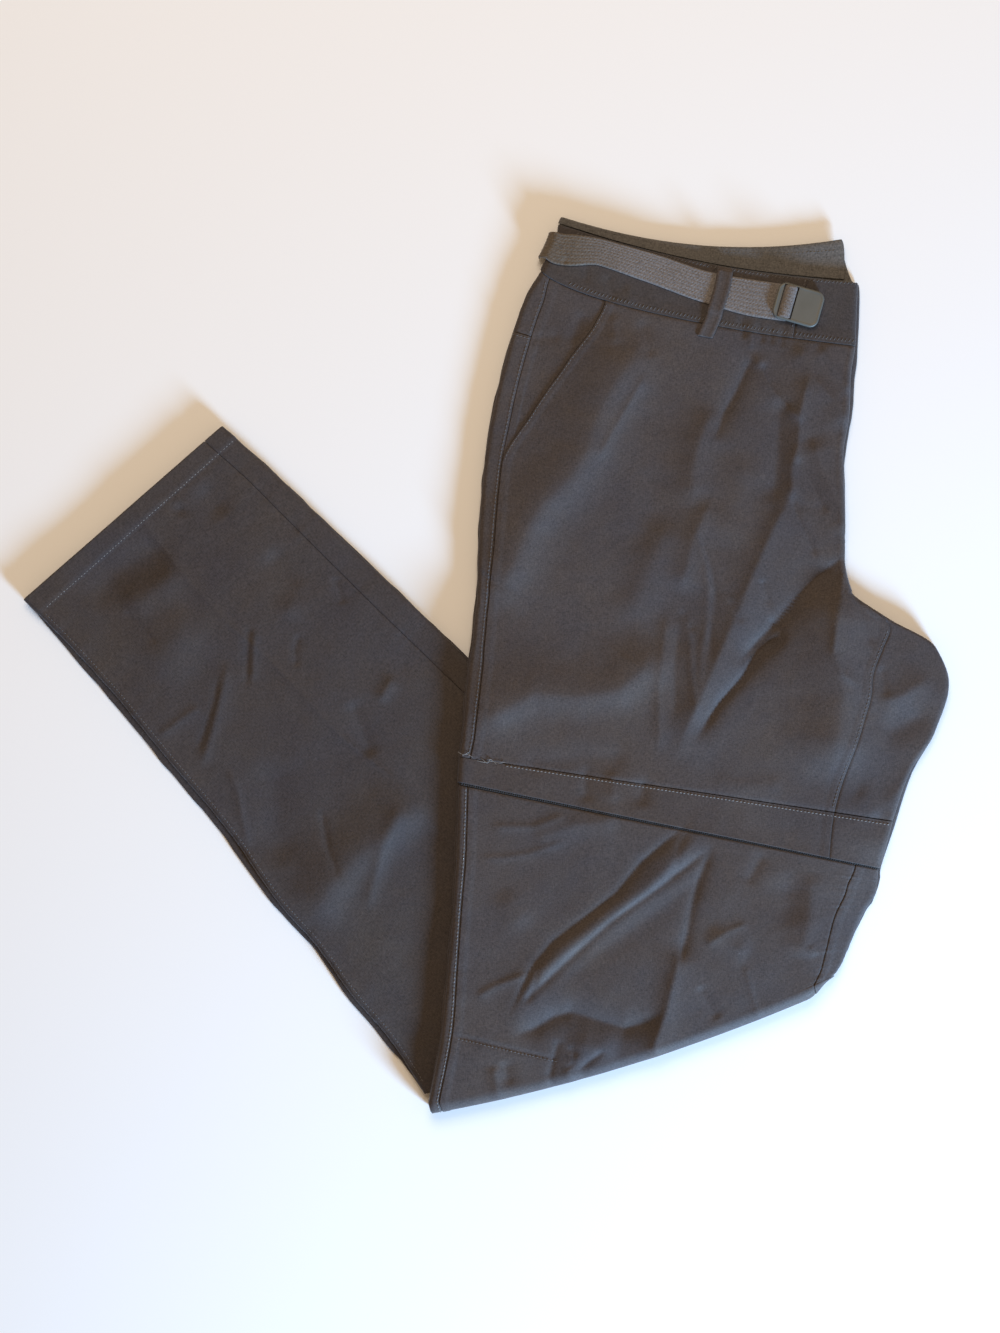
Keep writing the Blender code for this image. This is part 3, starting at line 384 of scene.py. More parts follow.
def weave_group():
    """Plain weave in the cloth's own directions: a colour, a roughness and the threads' height."""
    group = bpy.data.node_groups.new("plain_weave", "ShaderNodeTree")
    for in_out, sockets in (("INPUT", WEAVE_INPUTS), ("OUTPUT", WEAVE_OUTPUTS)):
        for name, kind in sockets:
            group.interface.new_socket(name=name, in_out=in_out, socket_type="NodeSocket" + kind)
    nodes, links = group.nodes, group.links
    given, made = nodes.new("NodeGroupInput"), nodes.new("NodeGroupOutput")
    place, turn = nodes.new("ShaderNodeTexCoord"), nodes.new("ShaderNodeVectorRotate")
    turn.rotation_type = "Z_AXIS"
    links.new(place.outputs["Object"], turn.inputs["Vector"])
    links.new(given.outputs["Turn"], turn.inputs["Angle"])

    def noise(scale, detail, stretch=(1, 1, 1)):
        sized, texture = nodes.new("ShaderNodeVectorMath"), nodes.new("ShaderNodeTexNoise")
        sized.operation = "MULTIPLY"
        sized.inputs[1].default_value = stretch
        texture.inputs["Scale"].default_value = scale
        texture.inputs["Detail"].default_value = detail
        links.new(turn.outputs["Vector"], sized.inputs[0])
        links.new(sized.outputs["Vector"], texture.inputs["Vector"])
        return texture.outputs["Fac"]

    def math_node(kind, first, second=None):
        node = nodes.new("ShaderNodeMath")
        node.operation = kind
        for socket, value in zip(node.inputs, (first, second)):
            if isinstance(value, bpy.types.NodeSocket):
                links.new(value, socket)
            elif value is not None:
                socket.default_value = value
        return node.outputs["Value"]

    parts = nodes.new("ShaderNodeSeparateXYZ")
    links.new(turn.outputs["Vector"], parts.inputs["Vector"])
    waves = []
    for axis in ("X", "Y"):
        threads = math_node("MULTIPLY", parts.outputs[axis], given.outputs["Threads per Metre"])
        waves.append(math_node("SINE", math_node("MULTIPLY", threads, math.pi)))
    weave = math_node("MULTIPLY", waves[0], waves[1])
    slubs = math_node("ADD", noise(SLUB_SIZE, 2, (1, 0.4, 1)), noise(SLUB_SIZE, 2, (0.4, 1, 1)))
    height = math_node("ADD", math_node("MULTIPLY", weave, WEAVE_SHARE), slubs)
    links.new(height, made.inputs["Height"])

    patches = nodes.new("ShaderNodeMapRange")
    patches.inputs["From Min"].default_value, patches.inputs["From Max"].default_value = PATCH_RANGE
    large, small = (math_node("MULTIPLY", noise(scale, detail), share)
                    for scale, detail, share in PATCH_SIZES)
    links.new(math_node("ADD", large, small), patches.inputs["Value"])
    worn = nodes.new("ShaderNodeMix")
    worn.data_type = "RGBA"
    links.new(patches.outputs["Result"], worn.inputs["Factor"])
    links.new(given.outputs["Color"], worn.inputs[6])
    links.new(given.outputs["Worn Color"], worn.inputs[7])
    threads = nodes.new("ShaderNodeMix")
    threads.data_type = "RGBA"
    threads.blend_type = "OVERLAY"
    threads.inputs["Factor"].default_value = GRAIN
    links.new(worn.outputs[2], threads.inputs[6])
    contrast = math_node("MULTIPLY", slubs, GRAIN_RANGE[0])
    links.new(math_node("SUBTRACT", contrast, GRAIN_RANGE[1]), threads.inputs[7])
    links.new(threads.outputs[2], made.inputs["Color"])
    rough = nodes.new("ShaderNodeMapRange")
    links.new(noise(60, 3), rough.inputs["Value"])
    links.new(given.outputs["Smoothest"], rough.inputs["To Min"])
    links.new(given.outputs["Roughest"], rough.inputs["To Max"])
    links.new(rough.outputs["Result"], made.inputs["Roughness"])
    return group


plain_weave = weave_group()


def woven(name, color, worn, turn, rough=CLOTH_ROUGH, threads=CLOTH_THREADS, bump=CLOTH_BUMP,
          sheen=CLOTH_SHEEN):
    """A cloth material with the weave turned to the grain of its piece."""
    material = bpy.data.materials.new(name)
    material.use_nodes = True
    nodes, links = material.node_tree.nodes, material.node_tree.links
    shader = nodes["Principled BSDF"]
    weave, relief = nodes.new("ShaderNodeGroup"), nodes.new("ShaderNodeBump")
    weave.node_tree = plain_weave
    values = (("Color", color), ("Worn Color", worn), ("Smoothest", rough[0]), ("Roughest", rough[1]),
              ("Turn", turn), ("Threads per Metre", threads))
    for socket, value in values:
        weave.inputs[socket].default_value = value
    relief.inputs["Strength"].default_value = 0.5
    relief.inputs["Distance"].default_value = bump
    links.new(weave.outputs["Color"], shader.inputs["Base Color"])
    links.new(weave.outputs["Roughness"], shader.inputs["Roughness"])
    links.new(weave.outputs["Height"], relief.inputs["Height"])
    links.new(relief.outputs["Normal"], shader.inputs["Normal"])
    shader.inputs["Sheen Weight"].default_value = sheen
    shader.inputs["Sheen Roughness"].default_value = 0.4
    shader.inputs["Sheen Tint"].default_value = (0.78, 0.84, 1.0, 1)
    shader.inputs["Specular IOR Level"].default_value = 0.35
    return material


thigh_cloth = woven("thigh_nylon", CLOTH_COLOR, CLOTH_WORN, 0.05)

# How a panel ends at its seams: over its neighbour with a felled allowance under it, sunk below it,
# or rolled where its edge is free. Close to its ends a panel has its rows and columns near together.
STEP = 1.7
NEAR = np.array((0.15, 0.3, 0.55, 0.9, 1.4, 2.1, 3.0))
FELL_WIDE = 5.5
FELL_HIGH = 0.32
EDGE_ROUND = 0.8
SEAM_SINK = 0.4
PUCKER = 0.16
PUCKER_WIDE = 5


def rolled(distance):
    """A free edge, rounded off."""
    return -EDGE_ROUND * (1 - np.sqrt(1 - np.clip(1 - distance / EDGE_ROUND, 0, 1) ** 2))


def felled(distance):
    """Raised beside the seam by the allowance folded under it."""
    return FELL_HIGH * (1 - ease(FELL_WIDE - 1.2, FELL_WIDE + 1.0, distance)) + 0.6 * rolled(distance)


def sunk(distance):
    """Drawn in where the neighbour is sewn over it."""
    return -SEAM_SINK * np.exp(-(distance / 0.9) ** 2)


def plain(distance):
    return np.zeros(np.shape(distance))


def places_between(start, end, step=STEP):
    """Places from one seam to another, close together near both and even between them."""
    start, end = np.atleast_1d(start).astype(float), np.atleast_1d(end).astype(float)
    span = end - start
    near = np.clip(span / (3 * NEAR[-1]), 0.02, 1)[:, None] * NEAR
    first, last = start[:, None] + near, end[:, None] - near[:, ::-1]
    count = max(2, round((span.max() - 2 * NEAR[-1]) / step))
    middle = first[:, -1:] + (last[:, :1] - first[:, -1:]) * np.linspace(0, 1, count + 1)[1:-1]
    return np.hstack((first, middle, last))


def show(name, points, faces, material, node=None):
    """One piece from points in millimetres, riding on the trousers in place of a solid."""
    mesh = bpy.data.meshes.new(name)
    mesh.from_pydata((np.reshape(points, (-1, 3)) * MM).tolist(), [], faces)
    mesh.materials.append(material)
    mesh.shade_smooth()
    mesh.set_sharp_from_angle(angle=math.radians(50))
    piece = bpy.data.objects.new(name, mesh)
    bpy.context.collection.objects.link(piece)
    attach(piece, "root")
    if node:
        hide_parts(node)
    return piece


def wall_faces(rows, columns):
    """Faces of a closed wall: a grid of points for the outside, and the same grid for the inside."""
    outer = np.arange(rows * columns).reshape(rows, columns)
    inner = outer + rows * columns
    quads = []
    for grid, order in ((outer, 1), (inner, -1)):
        corners = (grid[:-1, :-1], grid[1:, :-1], grid[1:, 1:], grid[:-1, 1:])[::order]
        quads.append(np.stack(corners, axis=-1).reshape(-1, 4))
    border = np.concatenate((outer[:, 0], outer[-1, 1:], outer[-2::-1, -1], outer[0, -2:0:-1]))
    after = np.roll(border, -1)
    quads.append(np.stack((after, border, border + rows * columns, after + rows * columns), axis=-1))
    return np.concatenate(quads).tolist()


def sew_panel(name, node, legs, rows, lines, ends, material, raised=0.0, thick=CLOTH):
    """A panel between two rows and two lines down the cloth, with the way it ends at each of them:
    at the top row, the bottom row, the left line and the right line."""
    down = places_between(*rows)[0][:, None]
    left, right = (line(down[:, 0]) for line in lines)
    girth = places_between(left, right)
    top, bottom, left_end, right_end = ends
    away = np.minimum(girth - left[:, None], right[:, None] - girth)
    waves = uneven(down, np.full(girth.shape, 40.0), 4.1, 7) + uneven(down, girth / 9, 9.0, 8)
    pucker = PUCKER * np.exp(-away / PUCKER_WIDE) * waves
    lift = (top(down - rows[0]) + bottom(rows[1] - down) + left_end(girth - left[:, None])
            + right_end(right[:, None] - girth) + pucker)
    high = raised(down) if callable(raised) else raised
    outer = legs.surface(down, girth, high + lift)
    inner = legs.surface(down, girth, high - thick)
    return show(name, np.stack((outer, inner)), wall_faces(*girth.shape), material, node)


# Lines down the thighs that the panels are sewn along: the side seam, the pocket's slanting edge,
# the inseam below the crotch, and the lower leg's inseam.
def side_seam(down):
    return np.maximum(thighs.read("side_seam", down), LIP_ARC + 1)


def pocket_edge(down):
    beyond = thighs.read("pocket", down) - thighs.read("side_seam", down) - 1.2
    return side_seam(down) + 0.1 + np.maximum(beyond, 0)


def tab_seam(down):
    return thighs.girth(down) - thighs.read("inner_seam", down)


def inner_seam(down):
    return np.where(np.asarray(down) < CROTCH, thighs.girth(down), tab_seam(down))


def lower_inseam(down):
    return thighs.girth(down) - np.maximum(thighs.read("knee_seam", down), LIP_ARC + 1)


def left_edge(down):
    return np.zeros(np.shape(down))


def right_edge(down):
    return thighs.girth(down)


# Right front panel, from the waist seam to the zip cover. It is laid over the pocket facing along a
# slanting folded edge, and topstitched to the back along the side and below the crotch.
COVER_STITCHES = 331.0
thigh_front = sew_panel("thigh_front_cloth", "thigh_front", thighs, (0, COVER_STITCHES),
                        (pocket_edge, inner_seam), (sunk, sunk, felled, felled), thigh_cloth)

# Right back panel where it wraps round the side and inside edges, and the yoke above it.
YOKE_SEAM = 42.0
thigh_back_side = sew_panel("thigh_back_side_cloth", "thigh_back_side", thighs, (YOKE_SEAM, COVER_STITCHES),
                            (left_edge, side_seam), (felled, sunk, plain, sunk), thigh_cloth)
yoke = sew_panel("yoke_cloth", "yoke_back_side", thighs, (0, YOKE_SEAM), (left_edge, side_seam),
                 (sunk, sunk, plain, sunk), thigh_cloth)
thigh_back_inner = sew_panel("thigh_back_inner_cloth", "thigh_back_inner", thighs, (CROTCH, COVER_STITCHES),
                             (inner_seam, right_edge), (sunk, sunk, sunk, plain), thigh_cloth)

# Facing of the slash pocket, a thinner piece of the same nylon that lies lower than the front's
# edge, so that the pocket's mouth shows as a step.
POCKET_END = 131.0
FACING_DEPTH = -0.5
FACING_THICK = 0.8
facing = sew_panel("pocket_facing_cloth", "pocket_facing", thighs, (0, POCKET_END), (side_seam, pocket_edge),
                   (sunk, sunk, felled, plain), thigh_cloth, FACING_DEPTH, FACING_THICK)

# Front waistband: two layers of nylon over an elastic, sewn to the panels below, with a tab at its
# front end. The back waistband behind it shows its inside.
WAIST_TOP = -37.0
WAIST_BACK_END = -32.6
BACK_SHORTER = 10.0
# Painted shade: the front waistband and its tab take a darker copy of the nylon's colours, for the shadow
# that the webbing casts on the band.
waistband_shaded_cloth = woven("waistband_nylon_painted_shade", (0.041, 0.034, 0.035, 1), (0.052, 0.042, 0.038, 1), 0.25)
waistband = sew_panel("waistband_front_cloth", "waistband_front", thighs, (WAIST_EDGE, 0),
                      (left_edge, tab_seam), (rolled, felled, plain, felled), waistband_shaded_cloth)
tab = sew_panel("waistband_tab_cloth", "waistband_tab", thighs, (WAIST_EDGE, 0), (tab_seam, right_edge),
                (rolled, felled, sunk, plain), waistband_shaded_cloth)
# The inside of the back waistband is paler and greyer than the nylon: partly its own facing, partly painted
# light that lifts the shade the front band casts over it.
inside_cloth = woven("waistband_inside_painted_light", (0.104, 0.101, 0.101, 1), (0.118, 0.112, 0.108, 1), 0.0,
                     (0.75, 0.9), 1500, 0.00015, 0.15)


def waist_back_edge(down):
    """The back waistband's end slants in behind the tab."""
    part = (np.asarray(down) - WAIST_TOP) / (WAIST_BACK_END - WAIST_TOP)
    return thighs.girth(down) - BACK_SHORTER * part


waistband_back = sew_panel("waistband_back_cloth", "waistband_back", thighs, (WAIST_TOP, WAIST_BACK_END),
                           (left_edge, waist_back_edge), (rolled, plain, plain, plain), inside_cloth)

# Zip cover: a band of nylon that hangs over the zip at the knee, stitched along its top. Under it
# lies the zip's black tape with its coil of teeth.
ZIP_TOP = 344.5
COVER_EDGE = 348.15
KNEE_TOP = 350.0
COVER_STEP = 1.2
COVER_PROUD = 1.2
COVER_CLEAR = 0.4
COVER_THIN = 0.25
COVER_UNEVEN = 0.18


def cover_panel(name, node, lines, ends):
    """The cover stands further off the zip towards its free lower edge, which is a little wavy."""
    down = places_between(COVER_STITCHES, COVER_EDGE, COVER_STEP)[0][:, None]
    below = down - COVER_STITCHES
    left, right = (line(down[:, 0]) for line in lines)
    girth = places_between(left, right)
    lift = COVER_PROUD * below / (COVER_EDGE - COVER_STITCHES) + 0.25 * sunk(below)
    lift = lift + rolled(COVER_EDGE - down) * 0.9
    lift = lift + ends[0](girth - left[:, None]) + ends[1](right[:, None] - girth)
    lift = lift + COVER_UNEVEN * uneven(girth, down / 3, 9.0, 21) * ease(0, 8, below)
    inside = -CLOTH + (CLOTH + COVER_CLEAR) * np.clip(below / (ZIP_TOP - COVER_STITCHES), 0, 1)
    outer = thighs.surface(down, girth, np.maximum(lift, inside + COVER_THIN))
    inner = thighs.surface(down, girth, inside)
    return show(name, np.stack((outer, inner)), wall_faces(*girth.shape), thigh_cloth, node)


cover_front = cover_panel("zip_cover_front_cloth", "zip_cover_front", (left_edge, inner_seam),
                          (plain, felled))
cover_back = cover_panel("zip_cover_back_cloth", "zip_cover_back", (inner_seam, right_edge), (sunk, plain))

# Zip-off lower part of the right leg, from the zip round the fold at the knee: its front with a
# dart at the knee, and its back where it shows beyond the side seam and the inseam.
knee_front = sew_panel("knee_front_cloth", "knee_front", thighs, (KNEE_TOP, FOLD_END),
                       (side_seam, lower_inseam), (sunk, plain, felled, sunk), thigh_cloth)
knee_back_side = sew_panel("knee_back_side_cloth", "knee_back_side", thighs, (KNEE_TOP, FOLD_END),
                           (left_edge, side_seam), (sunk, plain, plain, sunk), thigh_cloth)
knee_back_inner = sew_panel("knee_back_inner_cloth", "knee_back_inner", thighs, (KNEE_TOP, FOLD_END),
                            (lower_inseam, right_edge), (sunk, plain, felled, plain), thigh_cloth)

# Left lower leg, which comes out at the left of the thighs with its front up: hem, inseam on the
# right, outseam topstitched along the left edge, and the pressed crease down its middle.
HEM = 14.0
HEM_RAISED = 0.5
LOWER_COLUMNS = "down left_x left_y right_x right_y bow bow_at rise side_seam inseam reach_left reach_right"
LOWER_ROWS = (
    (0, -315, 45, -180, 163, 0, 0.5, 7.6, 3.2, 17, 0, 0),
    (38, -287, 17, -154, 140, 0, 0.5, 7.6, 3.2, 17, 3, 0.5),
    (88, -253, -20, -126.5, 114, 0, 0.5, 7.6, 3.2, 18, 5, 0.5),
    (147, -215, -66, -86, 75, 0, 0.5, 7.6, 3.2, 19, 5, 0.5),
    (205, -177.5, -110.5, -49, 40, 0, 0.5, 7.6, 3.2, 20, 5, 0.5),
    (270, -140, -163.5, -11.6, 3.7, 0, 0.5, 7.6, 3.2, 20, 4, 0.5),
    (307, -115.6, -191, 37, -42.5, 0, 0.5, 7.6, 3.2, 20, 3, 0.5),
    (348, -91, -225, 86, -89, 0, 0.5, 7.6, 3.2, 20, 4, 0.5),
    (385, -67, -253, 135, -136, 0, 0.5, 7.6, 3.2, 20, 4, 0.5),
    (423, -49, -280, 184, -183, 0, 0.5, 7.6, 3.2, 20, 1, 0.5),
    (437, -42, -292, 218, -208, 0, 0.5, 7.6, 3.2, 20, 0.5, 0.5),
)
LOWER_END = 437.0
LOWER_FOLDS = (
    (2.6, 0.9, 1.0, 0.0, (-250, 120), (-239, 108), (-227, 89), (-205, 61), (-176, 29), (-154, 10),
     (-133, -11), (-99, -48), (-65, -75), (-48, -96), (-22, -126), (-8, -142)),
    (2.6, -0.6, 1.3, 0.2, (-161, 28), (-162, 8), (-163, -16)),
    (2.8, 0.6, 1.3, 0.0, (-157, 26), (-158, 8), (-159, -12)),
    (4.5, 0.9, 1.2, -0.1, (-175, 4), (-180, -20), (-186, -44), (-194, -70)),
    (2.2, -0.5, 1.2, 0.0, (-182, -6), (-185, -24), (-191, -44), (-197, -60)),
    (3.6, 0.7, 1.2, 0.2, (-224, -49), (-208, -37), (-194, -27)),
    (2.8, -0.5, 1.3, 0.0, (-103, 61), (-100, 50), (-97, 41)),
    (2.4, -0.5, 1.3, 0.0, (-127, 22), (-130, 10), (-129, -2)),
    (2.4, -0.4, 1.3, 0.0, (-247, 38), (-236, 28), (-224, 14)),
    (14, -1.8, 1.8, 0.0, (-212, 86), (-234, 72), (-254, 62), (-270, 36)),
    (10, 1.2, 1.8, 0.0, (-204, 68), (-224, 52), (-248, 36)),
    (9, -1.2, 1.7, 0.0, (-198, 124), (-187, 113), (-176, 100)),
    (5, -0.7, 1.6, 0.0, (-206, 112), (-210, 100)),
    (3.0, 0.6, 1.2, 0.2, (-176, -70), (-169, -84), (-165, -108), (-160, -126)),
    (18, 3.2, 1.8, 0.2, (-40, -84), (-56, -101), (-72, -116), (-88, -129), (-106, -148), (-124, -180)),
    (5, 0.9, 1.4, 0.0, (-56, -92), (-70, -122), (-82, -168)),
    (2.4, -0.6, 1.3, 0.0, (-113, -96), (-107, -126), (-99, -146)),
    (14, -1.2, 1.9, 0.0, (-150, -60), (-142, -96), (-140, -140)),
    (16, 1.6, 1.9, 0.0, (-196, 40), (-214, 14), (-222, -14)),
    (6, -0.9, 1.6, 0.0, (-92, -23), (-84, -44), (-78, -64)),
    (8, 1.0, 1.7, 0.0, (-120, 60), (-140, 30)),
    (5, 1.0, 1.5, 0.0, (-62, -6), (-74, -26)),
    (9, -1.1, 1.8, 0.0, (-150, 80), (-136, 62), (-120, 40)),
)
lower_legs = FlatLegs(LOWER_COLUMNS, LOWER_ROWS, LOWER_FOLDS, False)
LOWER_GRAIN = 0.78
# Painted shade: the lower leg's nylon is a darker copy of the thighs' colours, for the shade that the thighs
# cast on it and to tone down the window light, which is closest here.
lower_shaded_cloth = woven("lower_leg_nylon_painted_shade", (0.041, 0.034, 0.037, 1), (0.053, 0.042, 0.038, 1), LOWER_GRAIN)


def hem_raised(down):
    """The turned-up hem is thicker, and its stitches draw it in."""
    step = ease(HEM - 0.6, HEM + 1.2, down)
    return HEM_RAISED * (1 - step) - 0.25 * np.exp(-((down - HEM) / 1.0) ** 2)


def outseam(down):
    return lower_legs.read("side_seam", down)


def inseam(down):
    return lower_legs.girth(down) - lower_legs.read("inseam", down)


def lower_right(down):
    return lower_legs.girth(down)


lower_front = sew_panel("lower_leg_front_cloth", "lower_leg_front", lower_legs, (0, LOWER_END),
                        (outseam, inseam), (rolled, plain, felled, sunk), lower_shaded_cloth, hem_raised)
lower_back_inseam = sew_panel("lower_leg_back_inseam_cloth", "lower_leg_back_inseam", lower_legs,
                              (0, LOWER_END), (inseam, lower_right), (rolled, plain, sunk, plain),
                              lower_shaded_cloth, hem_raised)
lower_back_outseam = sew_panel("lower_leg_back_outseam_cloth", "lower_leg_back_outseam", lower_legs,
                               (0, LOWER_END), (left_edge, outseam), (rolled, plain, plain, sunk),
                               lower_shaded_cloth, hem_raised)

# Layers under the top ones: the left leg's thigh and the right leg's lower part, whose folded edges
# show as soft lips below the top leg's, each a little further out or in. Their underside lies flat.
LAYER_STEP = 3.0
NOTCH_IN = 2.0
NOTCH_SHARE = 0.57
UNDER_IN = 4
UNDER_PLACES = 46
UNDER_TROUGH = 0.5


def layered_lip(legs, down, side):
    """Down the side of the stack: round below the top leg's edge, then out and round the lower leg."""
    reach = legs.read("reach_" + side, down) + 0.5 * uneven(down, down * 0, 11.0, 31 + len(side))
    upper = np.linspace(0.05, 1, 5) * math.pi / 2
    lower = np.linspace(0.06, 0.97, 11) * math.pi
    inward = np.concatenate((0.4 + (NOTCH_IN - 0.4) * (1 - np.cos(upper)) + 0 * reach,
                             NOTCH_IN - (NOTCH_IN + reach) * np.sin(lower) ** 0.8), axis=1)
    share = np.concatenate((1 - (1 - NOTCH_SHARE) * np.sin(upper), 0.5 * NOTCH_SHARE * (1 + np.cos(lower))))
    place = legs.width(down) - inward if side == "right" else inward
    return legs.place(down, place, share)


def lay_hidden_layers(name, node, legs, first, last, material):
    """One closed form: below the top cloth, down both lips, and flat with shallow troughs below."""
    down = np.linspace(first, last, round((last - first) / LAYER_STEP) + 1)[:, None]
    girth, width = legs.girth(down), legs.width(down)
    edge = np.array((0.0, 1.6, 3.2, LIP_ARC, 7.0, 12.0))
    depth = np.array((-1.5, -1.5, -1.5, -1.6, -2.8, -4.2))
    middle = edge[-1] + (girth - 2 * edge[-1]) * np.linspace(0, 1, 14)[1:-1]
    over = legs.surface(down, np.hstack((edge + 0 * girth, middle, girth - edge[::-1])),
                        np.concatenate((depth, np.full(12, depth[-1]), depth[::-1])))
    inward = UNDER_IN + (width - 2 * UNDER_IN) * np.linspace(0, 1, UNDER_PLACES)
    x, y = legs.across(down, inward)
    under = legs.place(down, inward, 0.0)
    trough = ease(0.2, 0.8, uneven(x, y, 26.0, 41)) * ease(0, 20, np.minimum(inward, width - inward))
    under[..., 2] += UNDER_TROUGH * trough
    rings = np.concatenate((over, layered_lip(legs, down, "right"), under[:, ::-1],
                            layered_lip(legs, down, "left")[:, ::-1]), axis=1)
    count, size = rings.shape[:2]
    number = np.arange(count * size).reshape(count, size)
    after = np.roll(number, -1, axis=1)
    faces = np.stack((number[:-1], number[1:], after[1:], after[:-1]), axis=-1).reshape(-1, 4).tolist()
    faces += [list(range(size)), list(range(count * size - 1, (count - 1) * size - 1, -1))]
    return show(name, rings, faces, material, node)


under_thighs = lay_hidden_layers("hidden_layers_thighs_cloth", "hidden_layers_thighs", thighs, -30.0,
                                 FOLD_START + 12, thigh_cloth)
under_lower = lay_hidden_layers("hidden_layers_lower_legs_cloth", "hidden_layers_lower_legs", lower_legs, 3.0,
                                LOWER_END, lower_shaded_cloth)

# Free edges of the hidden layers at the waist and at the hem, one band for each layer of cloth.
BAND_THICK = 1.7


def edge_bands(name, legs, first, last, levels, material):
    """Bands of folded cloth that end one below the other, each a little further in."""
    down = places_between(first, last, 2.0)[0][:, None]
    girth = legs.girth(down)
    points, faces, count = [], [], 0
    for number, level in enumerate(levels):
        start = 2.2 + 0.5 * number
        across = places_between((0 * girth + start)[:, 0], (girth - start)[:, 0], 4.0)
        free = down + 0.9 * number + 0.8 * uneven(across, down * 0, 23.0, 50 + number)
        x, y = legs.across(free, across - LIP_ARC + LIP_IN)
        soft = rolled(down - first) + rolled(across - start) + rolled(girth - start - across)
        outer = np.stack((x, y, level + BAND_THICK + soft + 0.15 * uneven(x, y, 9.0, 60 + number)), axis=-1)
        inner = np.stack((x, y, np.full(x.shape, level)), axis=-1)
        points.append(np.stack((outer, inner)).reshape(-1, 3))
        faces += [[corner + count for corner in face] for face in wall_faces(*across.shape)]
        count += outer.size * 2 // 3
    piece = show(name, np.concatenate(points), faces, material)


edge_bands("hem_edges_below", lower_legs, 0.5, HEM, (0.1, 2.0, 3.9), lower_shaded_cloth)
edge_bands("waist_edges_below", thighs, -35.8, -28.0, (0.1, 2.3), inside_cloth)

# Topstitching, in thread a little paler than the cloth. Each stitch is a small round-ended rod that
# is drawn into the cloth at both ends.
STITCH_PITCH = 2.6
STITCH_SEED = 3
THREAD_THICK = 0.42
BESIDE = 0.4
ROW_PLACES = 240
ROD_SIDES = 6
ROD_PLACES = np.array((-1.0, -0.82, 0.0, 0.82, 1.0))
ROD_ROUND = np.array((0.25, 0.85, 1.0, 0.85, 0.25))
ROD_LIFT = np.array((-0.16, 0.0, 0.08, 0.0, -0.16))


def thread_material(name, color, dark):
    """Twisted polyester thread: its colour broken up from stitch to stitch."""
    material = bpy.data.materials.new(name)
    material.use_nodes = True
    nodes, links = material.node_tree.nodes, material.node_tree.links
    shader, place = nodes["Principled BSDF"], nodes.new("ShaderNodeTexCoord")
    spots, mixed = nodes.new("ShaderNodeTexNoise"), nodes.new("ShaderNodeMix")
    mixed.data_type = "RGBA"
    links.new(place.outputs["Object"], spots.inputs["Vector"])
    spots.inputs["Scale"].default_value = 420
    links.new(spots.outputs["Fac"], mixed.inputs["Factor"])
    mixed.inputs[6].default_value = dark
    mixed.inputs[7].default_value = color
    links.new(mixed.outputs[2], shader.inputs["Base Color"])
    shader.inputs["Roughness"].default_value = 0.55
    return material


pale_thread = thread_material("pale_thread", (0.34, 0.33, 0.325, 1), (0.13, 0.125, 0.125, 1))
grey_thread = thread_material("grey_thread", (0.17, 0.162, 0.165, 1), (0.085, 0.08, 0.082, 1))


def on_cloth(legs, down, girth, out):
    """A line on the cloth with its normals."""
    here = legs.surface(down, girth, out)
    right = legs.surface(down, girth + BESIDE, out) - here
    lower = legs.surface(down + BESIDE, girth, out) - here
    normal = np.cross(lower, right)
    return here, normal / np.linalg.norm(normal, axis=-1, keepdims=True)


def stitch(name, line, material=grey_thread, pitch=STITCH_PITCH, share=0.66, thick=THREAD_THICK, turn=0.0):
    """Stitches along a line, each a share of the pitch long and turned across the line or along it."""
    line_points, normals = line
    steps = np.linalg.norm(np.diff(line_points, axis=0), axis=1)
    along = np.concatenate(([0], np.cumsum(steps)))
    random = np.random.default_rng(STITCH_SEED)
    places = np.arange(pitch / 2, along[-1], pitch)
    places = places + random.uniform(-0.12, 0.12, len(places))

    def at(length, values):
        return np.stack([np.interp(length, along, values[:, axis]) for axis in range(3)], axis=-1)

    middle, up = at(places, line_points), at(places, normals)
    run = at(places + 0.5, line_points) - middle
    run = run / np.maximum(np.linalg.norm(run, axis=1, keepdims=True), 1e-6)
    beside = np.cross(up, run)
    angle = turn + random.uniform(-0.07, 0.07, len(places))[:, None]
    ahead = run * np.cos(angle) + beside * np.sin(angle)
    side = beside * np.cos(angle) - run * np.sin(angle)
    half = 0.5 * pitch * share * random.uniform(0.9, 1.08, len(places))
    points, faces = [], []
    for place, wide, lift in zip(ROD_PLACES, ROD_ROUND, ROD_LIFT):
        for corner in range(ROD_SIDES):
            turned = corner * math.tau / ROD_SIDES
            across = 0.5 * thick * wide * math.cos(turned)
            high = 0.4 * thick * wide * math.sin(turned) + lift + 0.1
            points.append(middle + ahead * (place * half)[:, None] + side * across + up * high)
    points = np.stack(points, axis=1)
    size = points.shape[1]
    rod = [list(range(ROD_SIDES - 1, -1, -1)), list(range(size - ROD_SIDES, size))]
    for ring in range(0, size - ROD_SIDES, ROD_SIDES):
        for corner in range(ROD_SIDES):
            here, after = ring + corner, ring + (corner + 1) % ROD_SIDES
            rod.append([here, after, after + ROD_SIDES, here + ROD_SIDES])
    for number in range(len(places)):
        faces += [[corner + number * size for corner in face] for face in rod]
    return show(name, points, faces, material)


def seam_stitches(name, legs, rows, line, beside, out, **how):
    """Stitches along a seam, some way beside it."""
    down = np.linspace(*rows, max(2, round((rows[1] - rows[0]) / 1.5)))
    return stitch(name, on_cloth(legs, down, line(down) + beside, out), **how)


